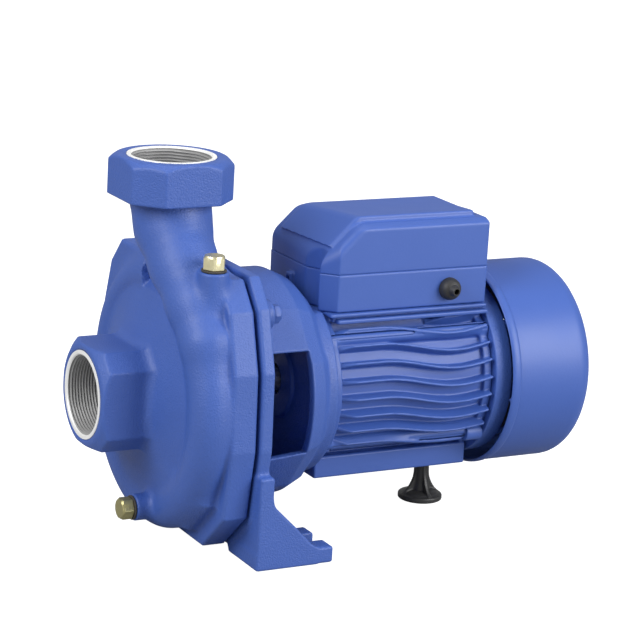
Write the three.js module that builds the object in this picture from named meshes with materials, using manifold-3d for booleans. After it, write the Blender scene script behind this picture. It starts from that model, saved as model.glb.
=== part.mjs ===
// Centrifugal water pump, close coupled to a single phase motor.
// Lengths are millimetres. X runs along the shaft from the suction port to the fan,
// Z points up and the feet stand on z = 0. The origin is below the middle of the pump.
import * as THREE from 'three';
import { mergeVertices } from 'three/addons/utils/BufferGeometryUtils.js';
import Module from 'manifold-3d';

const wasm = await Module();
wasm.setup();

// ---- Driving sizes ---------------------------------------------------------------
const LENGTH = 400;             // suction face to the back of the fan cover
const SHAFT_HEIGHT = 110;       // shaft axis above the floor
const HEIGHT = 286;             // discharge face above the floor
const GAP = 0.3;                // air left between neighbouring pieces
const THREAD_BORE = 28.3;       // radius of a G2 port bore at the thread crests
const FLANGE_HALF = 105;        // half width of the casing flange
const FOOT_SPAN = 2 * (FLANGE_HALF + 6);
const MOTOR_RADIUS = 69;        // over the cooling fins
const COVER_RADIUS = MOTOR_RADIUS + 10.8;
const HOUSING_ROOT = MOTOR_RADIUS - 9;   // outside of the motor barrel, between its fins
const PAD_TOP = SHAFT_HEIGHT + HOUSING_ROOT;
const IMPELLER = FLANGE_HALF - 25;

// ---- Places along the shaft --------------------------------------------------------
const SUCTION_FACE = -LENGTH / 2;
const DISCHARGE_X = SUCTION_FACE + 64;
const CASING_BACK = SUCTION_FACE + 91.5;
const RIM_FRONT = CASING_BACK - 33.5;
const FLANGE_FRONT = CASING_BACK + 2.5;
const FLANGE_BACK = FLANGE_FRONT + 9.5;
const SPIGOT_FACE = FLANGE_FRONT - 4;
const BRACKET_END = FLANGE_BACK + 71;
const HOUSING_END = LENGTH / 2 - 87.5;
const COVER_FRONT = LENGTH / 2 - 78;
const COVER_BACK = LENGTH / 2;

// ---- Materials ---------------------------------------------------------------------
const paint = (name, color, metalness, roughness) => {
  const material = new THREE.MeshStandardMaterial({ color, metalness, roughness });
  material.name = name;
  return material;
};
const enamel = () => paint('blue_enamel', 0x4a67b4, 0.1, 0.45);
const blackPlastic = () => paint('black_plastic', 0x202020, 0, 0.6);
const rubber = () => paint('rubber', 0x1b1b1b, 0, 0.85);
const brass = () => paint('brass', 0xc9a94e, 1, 0.3);
const steel = () => paint('steel', 0xb9bcc0, 1, 0.35);
const castIron = () => paint('cast_iron', 0x77797c, 0.8, 0.6);
const copper = () => paint('copper', 0xb06a3a, 1, 0.4);
const carbon = () => paint('carbon', 0x303032, 0.2, 0.5);
const ceramic = () => paint('ceramic', 0xe8e4d8, 0, 0.3);
const aluminium = () => paint('aluminium', 0xa9adb2, 1, 0.4);
const fibre = () => paint('fibre', 0x5a4a38, 0, 0.9);

// ---- Building helpers --------------------------------------------------------------
const parts = new THREE.Group();
parts.name = 'centrifugal_pump';

// Turns a closed three.js geometry into a manifold solid, facing outwards.
function solid(geometry) {
  const bare = geometry.clone();
  bare.deleteAttribute('normal');
  bare.deleteAttribute('uv');
  const merged = mergeVertices(bare, 1e-4);
  const corners = merged.attributes.position.array;
  const index = Array.from(merged.index.array);
  const kept = [];
  let volume = 0;
  for (let i = 0; i < index.length; i += 3) {
    const [a, b, c] = index.slice(i, i + 3);
    if (a === b || b === c || a === c) continue;
    kept.push(a, b, c);
    const p = new THREE.Vector3().fromArray(corners, 3 * a);
    const q = new THREE.Vector3().fromArray(corners, 3 * b);
    const r = new THREE.Vector3().fromArray(corners, 3 * c);
    volume += p.dot(q.cross(r));
  }
  if (volume < 0) kept.reverse();
  const mesh = new wasm.Mesh({
    numProp: 3,
    vertProperties: Float32Array.from(corners),
    triVerts: Uint32Array.from(kept),
  });
  mesh.merge();
  return new wasm.Manifold(mesh);
}

// Adds a finished solid to the pump as a named mesh.
function place(name, body, material) {
  const mesh = body.getMesh();
  const geometry = new THREE.BufferGeometry();
  geometry.setAttribute('position', new THREE.BufferAttribute(new Float32Array(mesh.vertProperties), 3));
  geometry.setIndex(new THREE.BufferAttribute(new Uint32Array(mesh.triVerts), 1));
  geometry.computeVertexNormals();
  const node = new THREE.Mesh(geometry, material);
  node.name = name;
  parts.add(node);
}

const join = (bodies) => bodies.reduce((whole, body) => whole.add(body));
const cut = (body, tools) => tools.reduce((rest, tool) => rest.subtract(tool), body);

// Rotation that sends the drawing plane (x, y) and its normal to the named axes.
const PLANES = {
  x: new THREE.Matrix4().makeBasis(
    new THREE.Vector3(0, 1, 0), new THREE.Vector3(0, 0, 1), new THREE.Vector3(1, 0, 0)),
  y: new THREE.Matrix4().makeBasis(
    new THREE.Vector3(0, 0, 1), new THREE.Vector3(1, 0, 0), new THREE.Vector3(0, 1, 0)),
  z: new THREE.Matrix4(),
};

// Straight prism: outline [[u, v], ...] drawn across the axis, from start to end.
// The outline is (y, z) for axis x, (z, x) for axis y and (x, y) for axis z.
function prism(outline, axis, start, end) {
  const shape = new THREE.Shape(outline.map(([u, v]) => new THREE.Vector2(u, v)));
  const geometry = new THREE.ExtrudeGeometry(shape, { depth: end - start, bevelEnabled: false });
  geometry.translate(0, 0, start);
  geometry.applyMatrix4(PLANES[axis]);
  return solid(geometry);
}

// Box given by its two opposite corners.
function block([x0, y0, z0], [x1, y1, z1]) {
  const geometry = new THREE.BoxGeometry(x1 - x0, y1 - y0, z1 - z0);
  geometry.translate((x0 + x1) / 2, (y0 + y1) / 2, (z0 + z1) / 2);
  return solid(geometry);
}

// Facets round the big turned pieces; the small ones have the default number.
const ROUND = 24;

// Solid of revolution: profile [[along, radius], ...], closed, round a line parallel
// to the axis through the point (x, y, z).
function turned(profile, axis, [x, y, z], segments = 16) {
  const loop = [...profile, profile[0]].map(([along, radius]) => new THREE.Vector2(radius, along));
  const geometry = new THREE.LatheGeometry(loop, segments);
  geometry.applyMatrix4(new THREE.Matrix4().makeRotationX(Math.PI / 2));
  geometry.applyMatrix4(PLANES[axis]);
  geometry.translate(x, y, z);
  return solid(geometry);
}

// Plain cylinder from start to end along the axis, and a tube of the same kind.
const rod = (axis, centre, radius, start, end, segments = 12) =>
  turned([[start, 0], [start, radius], [end, radius], [end, 0]], axis, centre, segments);
const tube = (axis, centre, inner, outer, start, end, segments = 16) =>
  turned([[start, inner], [start, outer], [end, outer], [end, inner]], axis, centre, segments);

const SHAFT_AXIS = [0, 0, SHAFT_HEIGHT];
const onShaft = (profile, segments) => turned(profile, 'x', SHAFT_AXIS, segments);
const polar = (radius, angle) => [radius * Math.cos(angle), radius * Math.sin(angle)];
const degrees = (angle) => (angle * Math.PI) / 180;

// Regular hexagon, given across its flats.
const hexagon = (flats, [u, v]) => [0, 1, 2, 3, 4, 5].map((corner) => {
  const [du, dv] = polar(flats / Math.sqrt(3), degrees(60 * corner + 30));
  return [u + du, v + dv];
});

// Square with its four corners cut off.
const cutSquare = (half, corner) => [
  [half, corner - half], [half, half - corner], [half - corner, half], [corner - half, half],
  [-half, half - corner], [-half, corner - half], [corner - half, -half], [half - corner, -half],
];

// Closed skin over rings of points that all have the same number of corners.
function skin(rings) {
  const count = rings[0].length;
  const points = rings.flat();
  const index = [];
  for (let ring = 0; ring + 1 < rings.length; ring += 1) {
    for (let i = 0; i < count; i += 1) {
      const a = ring * count + i;
      const b = ring * count + ((i + 1) % count);
      index.push(a, b, b + count, a, b + count, a + count);
    }
  }
  const last = (rings.length - 1) * count;
  for (let i = 1; i + 1 < count; i += 1) {
    index.push(0, i + 1, i);
    index.push(last, last + i, last + i + 1);
  }
  const geometry = new THREE.BufferGeometry();
  const corners = new Float32Array(points.flatMap((point) => point.toArray()));
  geometry.setAttribute('position', new THREE.BufferAttribute(corners, 3));
  geometry.setIndex(index);
  return solid(geometry);
}

// ---- Pump casing -------------------------------------------------------------------
// The flange is a square with well cut corners, drawn as (y, height above the shaft).
function flangeOutline(half) {
  const right = [[0.58, 1], [0.84, 0.8], [0.985, 0.34], [1, -0.2], [0.92, -0.7], [0.6, -0.99]];
  const left = right.map(([y, z]) => [-y, z]).reverse();
  return [...right.reverse(), ...left.reverse()].map(([y, z]) => [y * half, SHAFT_HEIGHT + z * half]);
}

// Middle line of the scroll: a widening spiral that starts behind the discharge neck,
// passes the far side, the bottom and the near side, and bends up into the neck.
const SCROLL_TURNS = 12;
function scrollStations() {
  const stations = [];
  for (let step = 0; step <= SCROLL_TURNS; step += 1) {
    const share = step / SCROLL_TURNS;
    const angle = degrees(24 + 266 * share);
    const radius = IMPELLER - 1 + 5 * share;
    stations.push({
      y: radius * Math.sin(angle),
      z: SHAFT_HEIGHT + radius * Math.cos(angle),
      size: 15 + 7.5 * share,
      x: RIM_FRONT + 9,
    });
  }
  const last = stations[SCROLL_TURNS];
  const rise = HEIGHT - 31 - last.z;
  for (const share of [0.2, 0.38, 0.56, 0.74, 1]) {
    const bend = (1 + Math.cos(Math.PI * Math.min(1, share * 1.15))) / 2;
    stations.push({
      y: last.y * bend,
      z: last.z + rise * share,
      size: 22.5 + 8.5 * share,
      x: last.x + (DISCHARGE_X - last.x) * share,
    });
  }
  return stations;
}

function scroll(wall, sides) {
  const stations = scrollStations();
  const rings = stations.map((here, number) => {
    const before = stations[Math.max(0, number - 1)];
    const after = stations[Math.min(stations.length - 1, number + 1)];
    const level = number === stations.length - 1;
    const run = new THREE.Vector2(level ? 0 : after.y - before.y, level ? 1 : after.z - before.z);
    run.normalize();
    const ring = [];
    for (let side = 0; side < sides; side += 1) {
      const [u, v] = polar(here.size - wall, (2 * Math.PI * side) / sides);
      ring.push(new THREE.Vector3(here.x + u, here.y - v * run.y, here.z + v * run.x));
    }
    return ring;
  });
  return skin(rings);
}

const PRIMING = [DISCHARGE_X + 4, (-FLANGE_HALF * 2) / 3, SHAFT_HEIGHT + FLANGE_HALF];
const DRAIN = [SUCTION_FACE + 35, -20, SHAFT_HEIGHT - FLANGE_HALF * 0.8];
// Casing bolts, as (y, height above the shaft).
const BOLT_SPOTS = [[0.743, 0.695], [-0.743, 0.695], [-0.743, -0.705], [0.743, -0.705]]
  .map(([y, z]) => [y * FLANGE_HALF, z * FLANGE_HALF]);

function pumpCasing() {
  const boss = THREAD_BORE + 9.2;
  const wallFront = SUCTION_FACE + 37;
  const octagon = cutSquare(boss, 12.5).map(([y, z]) => [y, z + SHAFT_HEIGHT]);
  const suction = prism(octagon, 'x', SUCTION_FACE, wallFront + 4).intersect(
    onShaft([[SUCTION_FACE, 0], [SUCTION_FACE, boss - 1], [SUCTION_FACE + 7, boss + 8.5],
      [wallFront + 5, boss + 8.5], [wallFront + 5, 0]], ROUND));
  const rimHalf = THREAD_BORE + 12.4;
  const collarOutline = cutSquare(rimHalf, 18.8).map(([x, y]) => [x + DISCHARGE_X, y]);
  const collar = prism(collarOutline, 'z', HEIGHT - 31, HEIGHT).intersect(
    turned([[HEIGHT - 32, 0], [HEIGHT - 32, rimHalf + 7.3], [HEIGHT - 6, rimHalf + 7.3],
      [HEIGHT, rimHalf - 0.2], [HEIGHT, 0]], 'z', [DISCHARGE_X, 0, 0], ROUND));
  const rim = prism(flangeOutline(FLANGE_HALF), 'x', RIM_FRONT, CASING_BACK);
  const dish = onShaft([[wallFront, 0], [wallFront, boss + 0.5], [wallFront + 6, IMPELLER * 0.7],
    [wallFront + 13, IMPELLER - 6], [RIM_FRONT + 2, IMPELLER + 6], [RIM_FRONT + 2, 0]], ROUND);
  const primingBoss = rod('z', [PRIMING[0], PRIMING[1], 0], 11, PRIMING[2] - 34, PRIMING[2]);
  const drainBoss = rod('x', [0, DRAIN[1], DRAIN[2]], 10, DRAIN[0], RIM_FRONT);
  const flangeRoom = block([CASING_BACK, -FOOT_SPAN, 0],
    [CASING_BACK + 50, FOOT_SPAN, SHAFT_HEIGHT + FLANGE_HALF + 5]);
  const outside = join([rim, dish, scroll(0, 12), suction, collar, primingBoss, drainBoss])
    .subtract(flangeRoom);

  const chamber = onShaft([
    [SUCTION_FACE - 1, 0], [SUCTION_FACE - 1, THREAD_BORE + 1.2], [SUCTION_FACE + 1.2, THREAD_BORE],
    [SUCTION_FACE + 32, THREAD_BORE], [SUCTION_FACE + 33, 25.5], [SUCTION_FACE + 48, 25.5],
    [SUCTION_FACE + 48, 29], [SUCTION_FACE + 55, 29], [SUCTION_FACE + 56, 34],
    [RIM_FRONT + 11, IMPELLER + 4.4], [CASING_BACK + 1, IMPELLER + 4.4], [CASING_BACK + 1, 0]], ROUND);
  const discharge = turned([[HEIGHT + 1, 0], [HEIGHT + 1, THREAD_BORE + 1.2],
    [HEIGHT - 1.2, THREAD_BORE], [HEIGHT - 28, THREAD_BORE], [HEIGHT - 33, 24.8],
    [HEIGHT - 33, 0]], 'z', [DISCHARGE_X, 0, 0], ROUND);
  const primingHole = rod('z', [PRIMING[0], PRIMING[1], 0], 6.9, PRIMING[2] - 45, PRIMING[2] + 1);
  const spotFace = rod('z', [PRIMING[0], PRIMING[1], 0], 10.5, PRIMING[2], PRIMING[2] + 12);
  const drainHole = rod('x', [0, DRAIN[1], DRAIN[2]], 6.9, DRAIN[0] - 1, RIM_FRONT + 12);
  const boltHoles = BOLT_SPOTS.map(([y, z]) =>
    rod('x', [0, y, SHAFT_HEIGHT + z], 4.4, CASING_BACK - 20, CASING_BACK + 1));
  return cut(outside, [chamber, scroll(6, 10), discharge, primingHole, spotFace, drainHole, ...boltHoles]);
}

function casingGasket() {
  return tube('x', SHAFT_AXIS, IMPELLER + 7, IMPELLER + 14, CASING_BACK + 0.5, CASING_BACK + 2);
}

// Plug with a hexagon head: way is +1 or -1, the side of the seat the head is on.
function plug(axis, [x, y, z], way) {
  const seat = { x, z }[axis] + way * 2;
  const centre = axis === 'x' ? [0, y, z] : [x, y, 0];
  const middle = axis === 'x' ? [y, z] : [x, y];
  const ends = (a, b) => [Math.min(a, b), Math.max(a, b)];
  return prism(hexagon(15, middle), axis, ...ends(seat, seat + way * 10))
    .add(rod(axis, centre, 6.5, ...ends(seat + way, seat - way * 15)));
}

function plugWasher(axis, [x, y, z], way) {
  const seat = { x, z }[axis];
  const ends = [seat + way * GAP, seat + way * (2 - GAP)].sort((a, b) => a - b);
  return tube(axis, axis === 'x' ? [0, y, z] : [x, y, 0], 6.9, 9.2, ...ends);
}

// ---- Impeller and its fastening ------------------------------------------------------
const HUB_BACK = SPIGOT_FACE - 3.5;
const EYE_FRONT = SUCTION_FACE + 49.5;

function impeller() {
  const back = HUB_BACK;
  const shroud = onShaft([[EYE_FRONT, 24], [EYE_FRONT, 28.5], [EYE_FRONT + 7, 28.5],
    [back - 13, IMPELLER], [back - 10, IMPELLER], [EYE_FRONT + 12, 28], [EYE_FRONT + 8, 24]]);
  const disc = onShaft([[back - 3, 16], [back - 3, IMPELLER], [back, IMPELLER], [back, 8.2],
    [back - 30, 8.2], [back - 30, 12.5], [back - 12, 14]]);
  const blades = [0, 1, 2, 3, 4, 5].map((number) => {
    const face = (offset) => [0, 1, 2, 3, 4, 5].map((step) => {
      const radius = 27 + (IMPELLER - 0.5 - 27) * (step / 5);
      const sweep = degrees(60 * number - 95 * (step / 5) ** 0.8) + offset / radius;
      const [y, z] = polar(radius, sweep);
      return [y, z + SHAFT_HEIGHT];
    });
    return prism([...face(-1.3), ...face(1.3).reverse()], 'x', back - 27, back - 1);
  });
  const room = onShaft([[EYE_FRONT + 10, 26], [back - 11, IMPELLER - 0.3], [back - 1, IMPELLER - 0.3],
    [back - 1, 26]]);
  const vanes = join(blades).intersect(room);
  const keyway = block([back - 31, -2.2, SHAFT_HEIGHT + 6], [back + 1, 2.2, SHAFT_HEIGHT + 10.4]);
  return cut(join([shroud, disc, vanes]), [keyway]);
}

const impellerKey = () => block([HUB_BACK - 24, -1.9, SHAFT_HEIGHT + 6.1],
  [HUB_BACK - 4, 1.9, SHAFT_HEIGHT + 10]);
const impellerWasher = () => tube('x', SHAFT_AXIS, 6.4, 11.5, HUB_BACK - 32.3, HUB_BACK - 30.3);

function impellerNut() {
  const body = prism(hexagon(19, [0, SHAFT_HEIGHT]), 'x', HUB_BACK - 42.6, HUB_BACK - 32.6);
  return body.subtract(rod('x', SHAFT_AXIS, 6.4, HUB_BACK - 43, HUB_BACK - 32));
}

// ---- Mechanical seal -------------------------------------------------------------------
const SEAT_BACK = FLANGE_BACK + 4;
const sealSeat = () => tube('x', SHAFT_AXIS, 9.5, 13.5, SEAT_BACK - 7.5, SEAT_BACK - 0.5);
const sealBoot = () => onShaft([[SEAT_BACK - 7, 13.8], [SEAT_BACK - 7, 16.7],
  [SEAT_BACK - GAP, 16.7], [SEAT_BACK - GAP, 13.8]]);
const sealRing = () => tube('x', SHAFT_AXIS, 9, 12.5, SEAT_BACK - 11.5, SEAT_BACK - 7.8);
const sealCase = () => onShaft([[HUB_BACK + 0.5, 8.3], [HUB_BACK + 0.5, 14.5], [HUB_BACK + 2, 14.5],
  [HUB_BACK + 2, 10.2], [SEAT_BACK - 11.8, 10.2], [SEAT_BACK - 11.8, 8.3]]);

function sealSpring() {
  const coils = 2.5;
  const start = HUB_BACK + 3.3;
  const length = SEAT_BACK - 13 - start;
  const wire = [...Array(coils * 12 + 1).keys()].map((step) => {
    const turn = step / 12;
    const [y, z] = polar(12.2, 2 * Math.PI * turn);
    return new THREE.Vector3(start + (length * turn) / coils, y, z + SHAFT_HEIGHT);
  });
  const rings = wire.map((point) => {
    const outward = new THREE.Vector3(0, point.y, point.z - SHAFT_HEIGHT).normalize();
    return [0, 1, 2, 3, 4].map((side) => {
      const [u, v] = polar(0.9, (2 * Math.PI * side) / 5);
      return point.clone().addScaledVector(outward, u).add(new THREE.Vector3(v, 0, 0));
    });
  });
  return skin(rings);
}

// ---- Casing bolts ----------------------------------------------------------------------
const BOLT_SEAT = FLANGE_BACK + 6;
function casingBolt([y, z]) {
  const centre = [0, y, z + SHAFT_HEIGHT];
  return prism(hexagon(13, [y, z + SHAFT_HEIGHT]), 'x', BOLT_SEAT + 2.2, BOLT_SEAT + 7.5)
    .add(rod('x', centre, 4, CASING_BACK - 18, BOLT_SEAT + 3));
}
const boltWasher = ([y, z]) =>
  tube('x', [0, y, z + SHAFT_HEIGHT], 4.3, 7.4, BOLT_SEAT + GAP, BOLT_SEAT + 1.9);

// ---- Motor bracket with its two feet ------------------------------------------------------
const BEARING_FRONT = BRACKET_END - 13;
const ROD_RADIUS = MOTOR_RADIUS - 4.2;
const ROD_ANGLES = [40, 140, 220, 320];
const rodSpot = (angle) => {
  const [y, z] = polar(ROD_RADIUS, degrees(angle));
  return [0, y, z + SHAFT_HEIGHT];
};

function bracketFoot(side) {
  const outer = (side * FOOT_SPAN) / 2;
  const inner = outer - side * 47;
  const [near, far] = [Math.min(outer, inner), Math.max(outer, inner)];
  const front = FLANGE_FRONT;
  const toe = front + 62;
  const top = SHAFT_HEIGHT - 40;
  const plate = block([front, near, 0], [FLANGE_BACK + 2, far, top]);
  const sole = block([front, near, 0], [toe, far, 12.5]);
  const web = [[0, front], [0, toe - 14], [12.5, toe - 14], [top - 21, FLANGE_BACK + 2],
    [top, FLANGE_BACK + 2], [top, front]];
  const webs = [outer - side * 9, inner + side * 5].map((edge, which) => {
    const [low, high] = [edge, which ? inner : outer].sort((a, b) => a - b);
    return prism(web, 'y', low, high);
  });
  const middle = outer - side * 24.5;
  const slot = block([toe - 15, middle - 7.5, -1], [toe + 1, middle + 7.5, 14])
    .add(rod('z', [toe - 15, middle, 0], 7.5, -1, 14));
  return join([plate, sole, ...webs]).subtract(slot);
}

// Room above the flat that the terminal box stands on.
const boxFlat = () => block([BRACKET_END - 8, -MOTOR_RADIUS, PAD_TOP],
  [HOUSING_END + 5, MOTOR_RADIUS, PAD_TOP + 30]);

function motorBracket() {
  const flange = prism(flangeOutline(FLANGE_HALF + 2), 'x', FLANGE_FRONT, FLANGE_BACK);
  const wide = FLANGE_HALF - 19;
  const taper = wide - MOTOR_RADIUS;
  const shoulder = MOTOR_RADIUS + 0.65 * taper;
  const bell = onShaft([[FLANGE_BACK - 1, wide - 7], [FLANGE_BACK - 1, wide], [FLANGE_BACK + 43, wide],
    [FLANGE_BACK + 56, shoulder], [FLANGE_BACK + 64, MOTOR_RADIUS + 0.12 * taper],
    [BRACKET_END, MOTOR_RADIUS], [BRACKET_END, MOTOR_RADIUS - 7], [BRACKET_END - 6, MOTOR_RADIUS - 7],
    [FLANGE_BACK + 52, shoulder - 6], [FLANGE_BACK + 42, wide - 7]], ROUND);
  const spigot = rod('x', SHAFT_AXIS, IMPELLER + 4, SPIGOT_FACE, FLANGE_FRONT + 1, ROUND);
  const sealHub = rod('x', SHAFT_AXIS, 24, FLANGE_BACK - 1, SEAT_BACK + 4);
  const bearingWall = onShaft([[BEARING_FRONT - 4, 12.5], [BEARING_FRONT - 4, 30],
    [BEARING_FRONT - 2, 30], [BEARING_FRONT - 2, MOTOR_RADIUS - 5], [BEARING_FRONT + 5, MOTOR_RADIUS - 5],
    [BEARING_FRONT + 5, 30], [BRACKET_END + 2, 30], [BRACKET_END + 2, 23.8], [BEARING_FRONT, 23.8],
    [BEARING_FRONT, 12.5]], ROUND);
  const seats = BOLT_SPOTS.map(([y, z]) =>
    rod('x', [0, y, z + SHAFT_HEIGHT], 11, FLANGE_BACK - 1, BOLT_SEAT));
  const lugs = ROD_ANGLES.map((angle) => rod('x', rodSpot(angle), 8, BRACKET_END - 16, BRACKET_END));
  const cheeks = [15, -15].map((y) => block([FLANGE_BACK - 1, y - 4, SHAFT_HEIGHT + wide - 6],
    [FLANGE_BACK + 40, y + 4, SHAFT_HEIGHT + wide + 2]));
  const body = join([flange, bell, spigot, sealHub, bearingWall, ...seats, ...lugs, ...cheeks,
    bracketFoot(-1), bracketFoot(1)]);

  const sealBore = onShaft([[SPIGOT_FACE - 1, 0], [SPIGOT_FACE - 1, 17], [SEAT_BACK, 17],
    [SEAT_BACK, 12], [SEAT_BACK + 5, 12], [SEAT_BACK + 5, 0]]);
  const window = block([FLANGE_BACK + 1, -FLANGE_HALF, SHAFT_HEIGHT - 40],
    [FLANGE_BACK + 43, FLANGE_HALF, SHAFT_HEIGHT + 41])
    .subtract(rod('x', SHAFT_AXIS, 26, FLANGE_BACK, FLANGE_BACK + 44));
  const boltHoles = BOLT_SPOTS.map(([y, z]) =>
    rod('x', [0, y, z + SHAFT_HEIGHT], 4.5, FLANGE_FRONT - 2, BOLT_SEAT + 1));
  const rodHoles = ROD_ANGLES.map((angle) =>
    rod('x', rodSpot(angle), 2.8, BRACKET_END - 14, BRACKET_END + 1));
  return cut(body, [sealBore, window, boxFlat(), ...boltHoles, ...rodHoles]);
}

// ---- Shaft, rotor and bearings ---------------------------------------------------------------
const CORE = [BRACKET_END + 31, HOUSING_END - 27];
const BEARING_REAR = HOUSING_END + 0.6;
const FAN = [COVER_FRONT + 9, COVER_FRONT + 31];

function shaft() {
  const keyway = block([HUB_BACK - 25, -2.1, SHAFT_HEIGHT + 6], [HUB_BACK - 3, 2.1, SHAFT_HEIGHT + 9]);
  return onShaft([
    [HUB_BACK - 46, 0], [HUB_BACK - 46, 5.4], [HUB_BACK - 45, 6.1], [HUB_BACK - 30, 6.1],
    [HUB_BACK - 30, 7.9], [SEAT_BACK + 8, 7.9], [SEAT_BACK + 9, 9.7], [BEARING_FRONT + 14.4, 9.7],
    [BEARING_FRONT + 14.4, 12], [BEARING_REAR - 1, 12], [BEARING_REAR - 1, 8.2],
    [BEARING_REAR + 14, 8.2], [BEARING_REAR + 14, 6.7], [FAN[1] + 3, 6.7], [FAN[1] + 4, 6],
    [FAN[1] + 4, 0],
  ]).subtract(keyway);
}

const slinger = () => onShaft([[SEAT_BACK + 12, 10], [SEAT_BACK + 12, 15], [SEAT_BACK + 14, 24],
  [SEAT_BACK + 15.5, 24], [SEAT_BACK + 17, 14], [SEAT_BACK + 20, 13], [SEAT_BACK + 20, 10]]);

const rotorCore = () => onShaft([[CORE[0] - 8, 22], [CORE[0] - 8, 31], [CORE[0], 31], [CORE[0], 34.6],
  [CORE[1], 34.6], [CORE[1], 31], [CORE[1] + 8, 31], [CORE[1] + 8, 22], [CORE[1], 22],
  [CORE[1], 12.3], [CORE[0], 12.3], [CORE[0], 22]]);

// Deep groove ball bearing: bore, outside, width, number of balls.
const BIG = { bore: 10, outside: 23.5, width: 14, ball: 3.9, balls: 8 };
const SMALL = { bore: 8.5, outside: 20, width: 12, ball: 3.3, balls: 8 };

function bearingRace(start, size, outer) {
  const pitch = (size.bore + size.outside) / 2;
  const edge = outer ? size.outside - 0.05 : size.bore + 0.05;
  const land = outer ? pitch + size.ball * 0.62 : pitch - size.ball * 0.62;
  const groove = [-1, 0, 1].map((step) => {
    const angle = step * 0.85;
    const reach = size.ball + 0.6;
    return [start + size.width / 2 + reach * Math.sin(angle),
      outer ? pitch + reach * Math.cos(angle) : pitch - reach * Math.cos(angle)];
  });
  return onShaft([[start, edge], [start, land], ...groove, [start + size.width, land],
    [start + size.width, edge]]);
}

function bearingCage(start, size) {
  const pitch = (size.bore + size.outside) / 2;
  const middle = start + size.width / 2;
  const balls = [...Array(size.balls).keys()].map((number) => {
    const [y, z] = polar(pitch, (2 * Math.PI * number) / size.balls);
    const ball = new THREE.OctahedronGeometry(size.ball, 1);
    ball.translate(middle, y, z + SHAFT_HEIGHT);
    return solid(ball);
  });
  return join([tube('x', SHAFT_AXIS, pitch - 0.8, pitch + 0.8, middle - 2.2, middle + 2.2), ...balls]);
}

// Spring washer between the rear bearing and its seat, bent into three waves.
function waveWasher() {
  const rings = [];
  const steps = 18;
  const middle = BEARING_REAR + SMALL.width + 1.2;
  for (let step = 0; step <= steps; step += 1) {
    const angle = (2 * Math.PI * step) / (steps + 1);
    const x = middle + 0.35 * Math.cos(3 * angle);
    rings.push([[15, -0.25], [18.5, -0.25], [18.5, 0.25], [15, 0.25]].map(([radius, dx]) => {
      const [y, z] = polar(radius, angle);
      return new THREE.Vector3(x + dx, y, z + SHAFT_HEIGHT);
    }));
  }
  return skin(rings);
}

// ---- Motor ----------------------------------------------------------------------------------
const BOX_X = [BRACKET_END - 2, HOUSING_END];
const SUPPORT_X = HOUSING_END - 19;

// Cooling fin: a radial plate that drops by one pitch on its way along the housing.
const FIN_PITCH = 11.4;
function coolingFin(side, row, start, end) {
  const rings = [];
  const steps = 5;
  const length = HOUSING_END - BRACKET_END;
  for (let step = 0; step <= steps; step += 1) {
    const x = start + ((end - start) * step) / steps;
    const along = (x - BRACKET_END) / length;
    const wave = Math.cos(2 * Math.PI * Math.min(1, Math.max(0, (along - 0.31) / 0.92)));
    const angle = degrees(row * FIN_PITCH + 0.33 * FIN_PITCH * (wave - 1) - FIN_PITCH * 0.12);
    const rise = Math.min(1, 0.35 + (x - start) / 16);
    const tip = HOUSING_ROOT + (MOTOR_RADIUS - HOUSING_ROOT) * rise;
    const corner = (radius, half) => {
      const [y, z] = polar(radius, angle + half / radius);
      return new THREE.Vector3(x, side * y, z + SHAFT_HEIGHT);
    };
    rings.push([corner(HOUSING_ROOT - 1, -1.9), corner(tip, -1.1), corner(tip, 1.1),
      corner(HOUSING_ROOT - 1, 1.9)]);
  }
  return skin(rings);
}

function motorHousing() {
  const barrel = rod('x', SHAFT_AXIS, HOUSING_ROOT, BRACKET_END + GAP, HOUSING_END, ROUND);
  const bottom = SHAFT_HEIGHT - MOTOR_RADIUS - 3;
  const front = tube('x', SHAFT_AXIS, HOUSING_ROOT - 4, MOTOR_RADIUS - 2, BRACKET_END + GAP,
    BRACKET_END + 6, ROUND);
  const fins = [-1, 1].flatMap((side) => [-3, -2, -1, 0, 1, 2, 3, 4].map((row) => {
    const low = row === -3;
    const high = row === 4;
    const start = BRACKET_END + (low || high ? 22 : 4);
    return coolingFin(side, row, start, HOUSING_END - (low || high ? 20 : 2));
  }));
  const pad = block([BRACKET_END + 2, -48, PAD_TOP - 5], [HOUSING_END - 1, 48, PAD_TOP])
    .add(block([BRACKET_END + 4, -40, PAD_TOP - 30], [HOUSING_END - 3, 40, PAD_TOP - 1]));
  const rail = block([BRACKET_END + 3, -35, bottom], [HOUSING_END - 2, 35, bottom + 17])
    .subtract(block([BRACKET_END + 10, -27, bottom - 8], [HOUSING_END - 35, 27, bottom + 10]));
  const lugEnds = [[BRACKET_END + GAP, BRACKET_END + 16], [HOUSING_END - 16, HOUSING_END]];
  const lugs = ROD_ANGLES.flatMap((angle) => lugEnds.map(([start, end]) =>
    rod('x', rodSpot(angle), 8, start, end)));
  const body = join([barrel, front, pad, rail, ...lugs, ...fins]);
  const bore = rod('x', SHAFT_AXIS, HOUSING_ROOT - 5, BRACKET_END - 1, HOUSING_END + 1, ROUND);
  const rods = ROD_ANGLES.map((angle) => rod('x', rodSpot(angle), 3.2, BRACKET_END - 1, HOUSING_END + 1));
  const leads = rod('z', [BRACKET_END + 16, 0, 0], 9, SHAFT_HEIGHT + 40, PAD_TOP + 1);
  const stud = rod('z', [SUPPORT_X, 0, 0], 4.4, bottom - 2, bottom + 12);
  return cut(body, [bore, boxFlat(), ...rods, leads, stud]);
}

const statorCore = () => tube('x', SHAFT_AXIS, 35.6, HOUSING_ROOT - 5.6, CORE[0], CORE[1], ROUND);
function coilEnd(start, end) {
  const outer = HOUSING_ROOT - 8;
  return onShaft([[start, 39], [start, outer - 3], [start + 3, outer], [end - 3, outer],
    [end, outer - 3], [end, 39]]);
}

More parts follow.
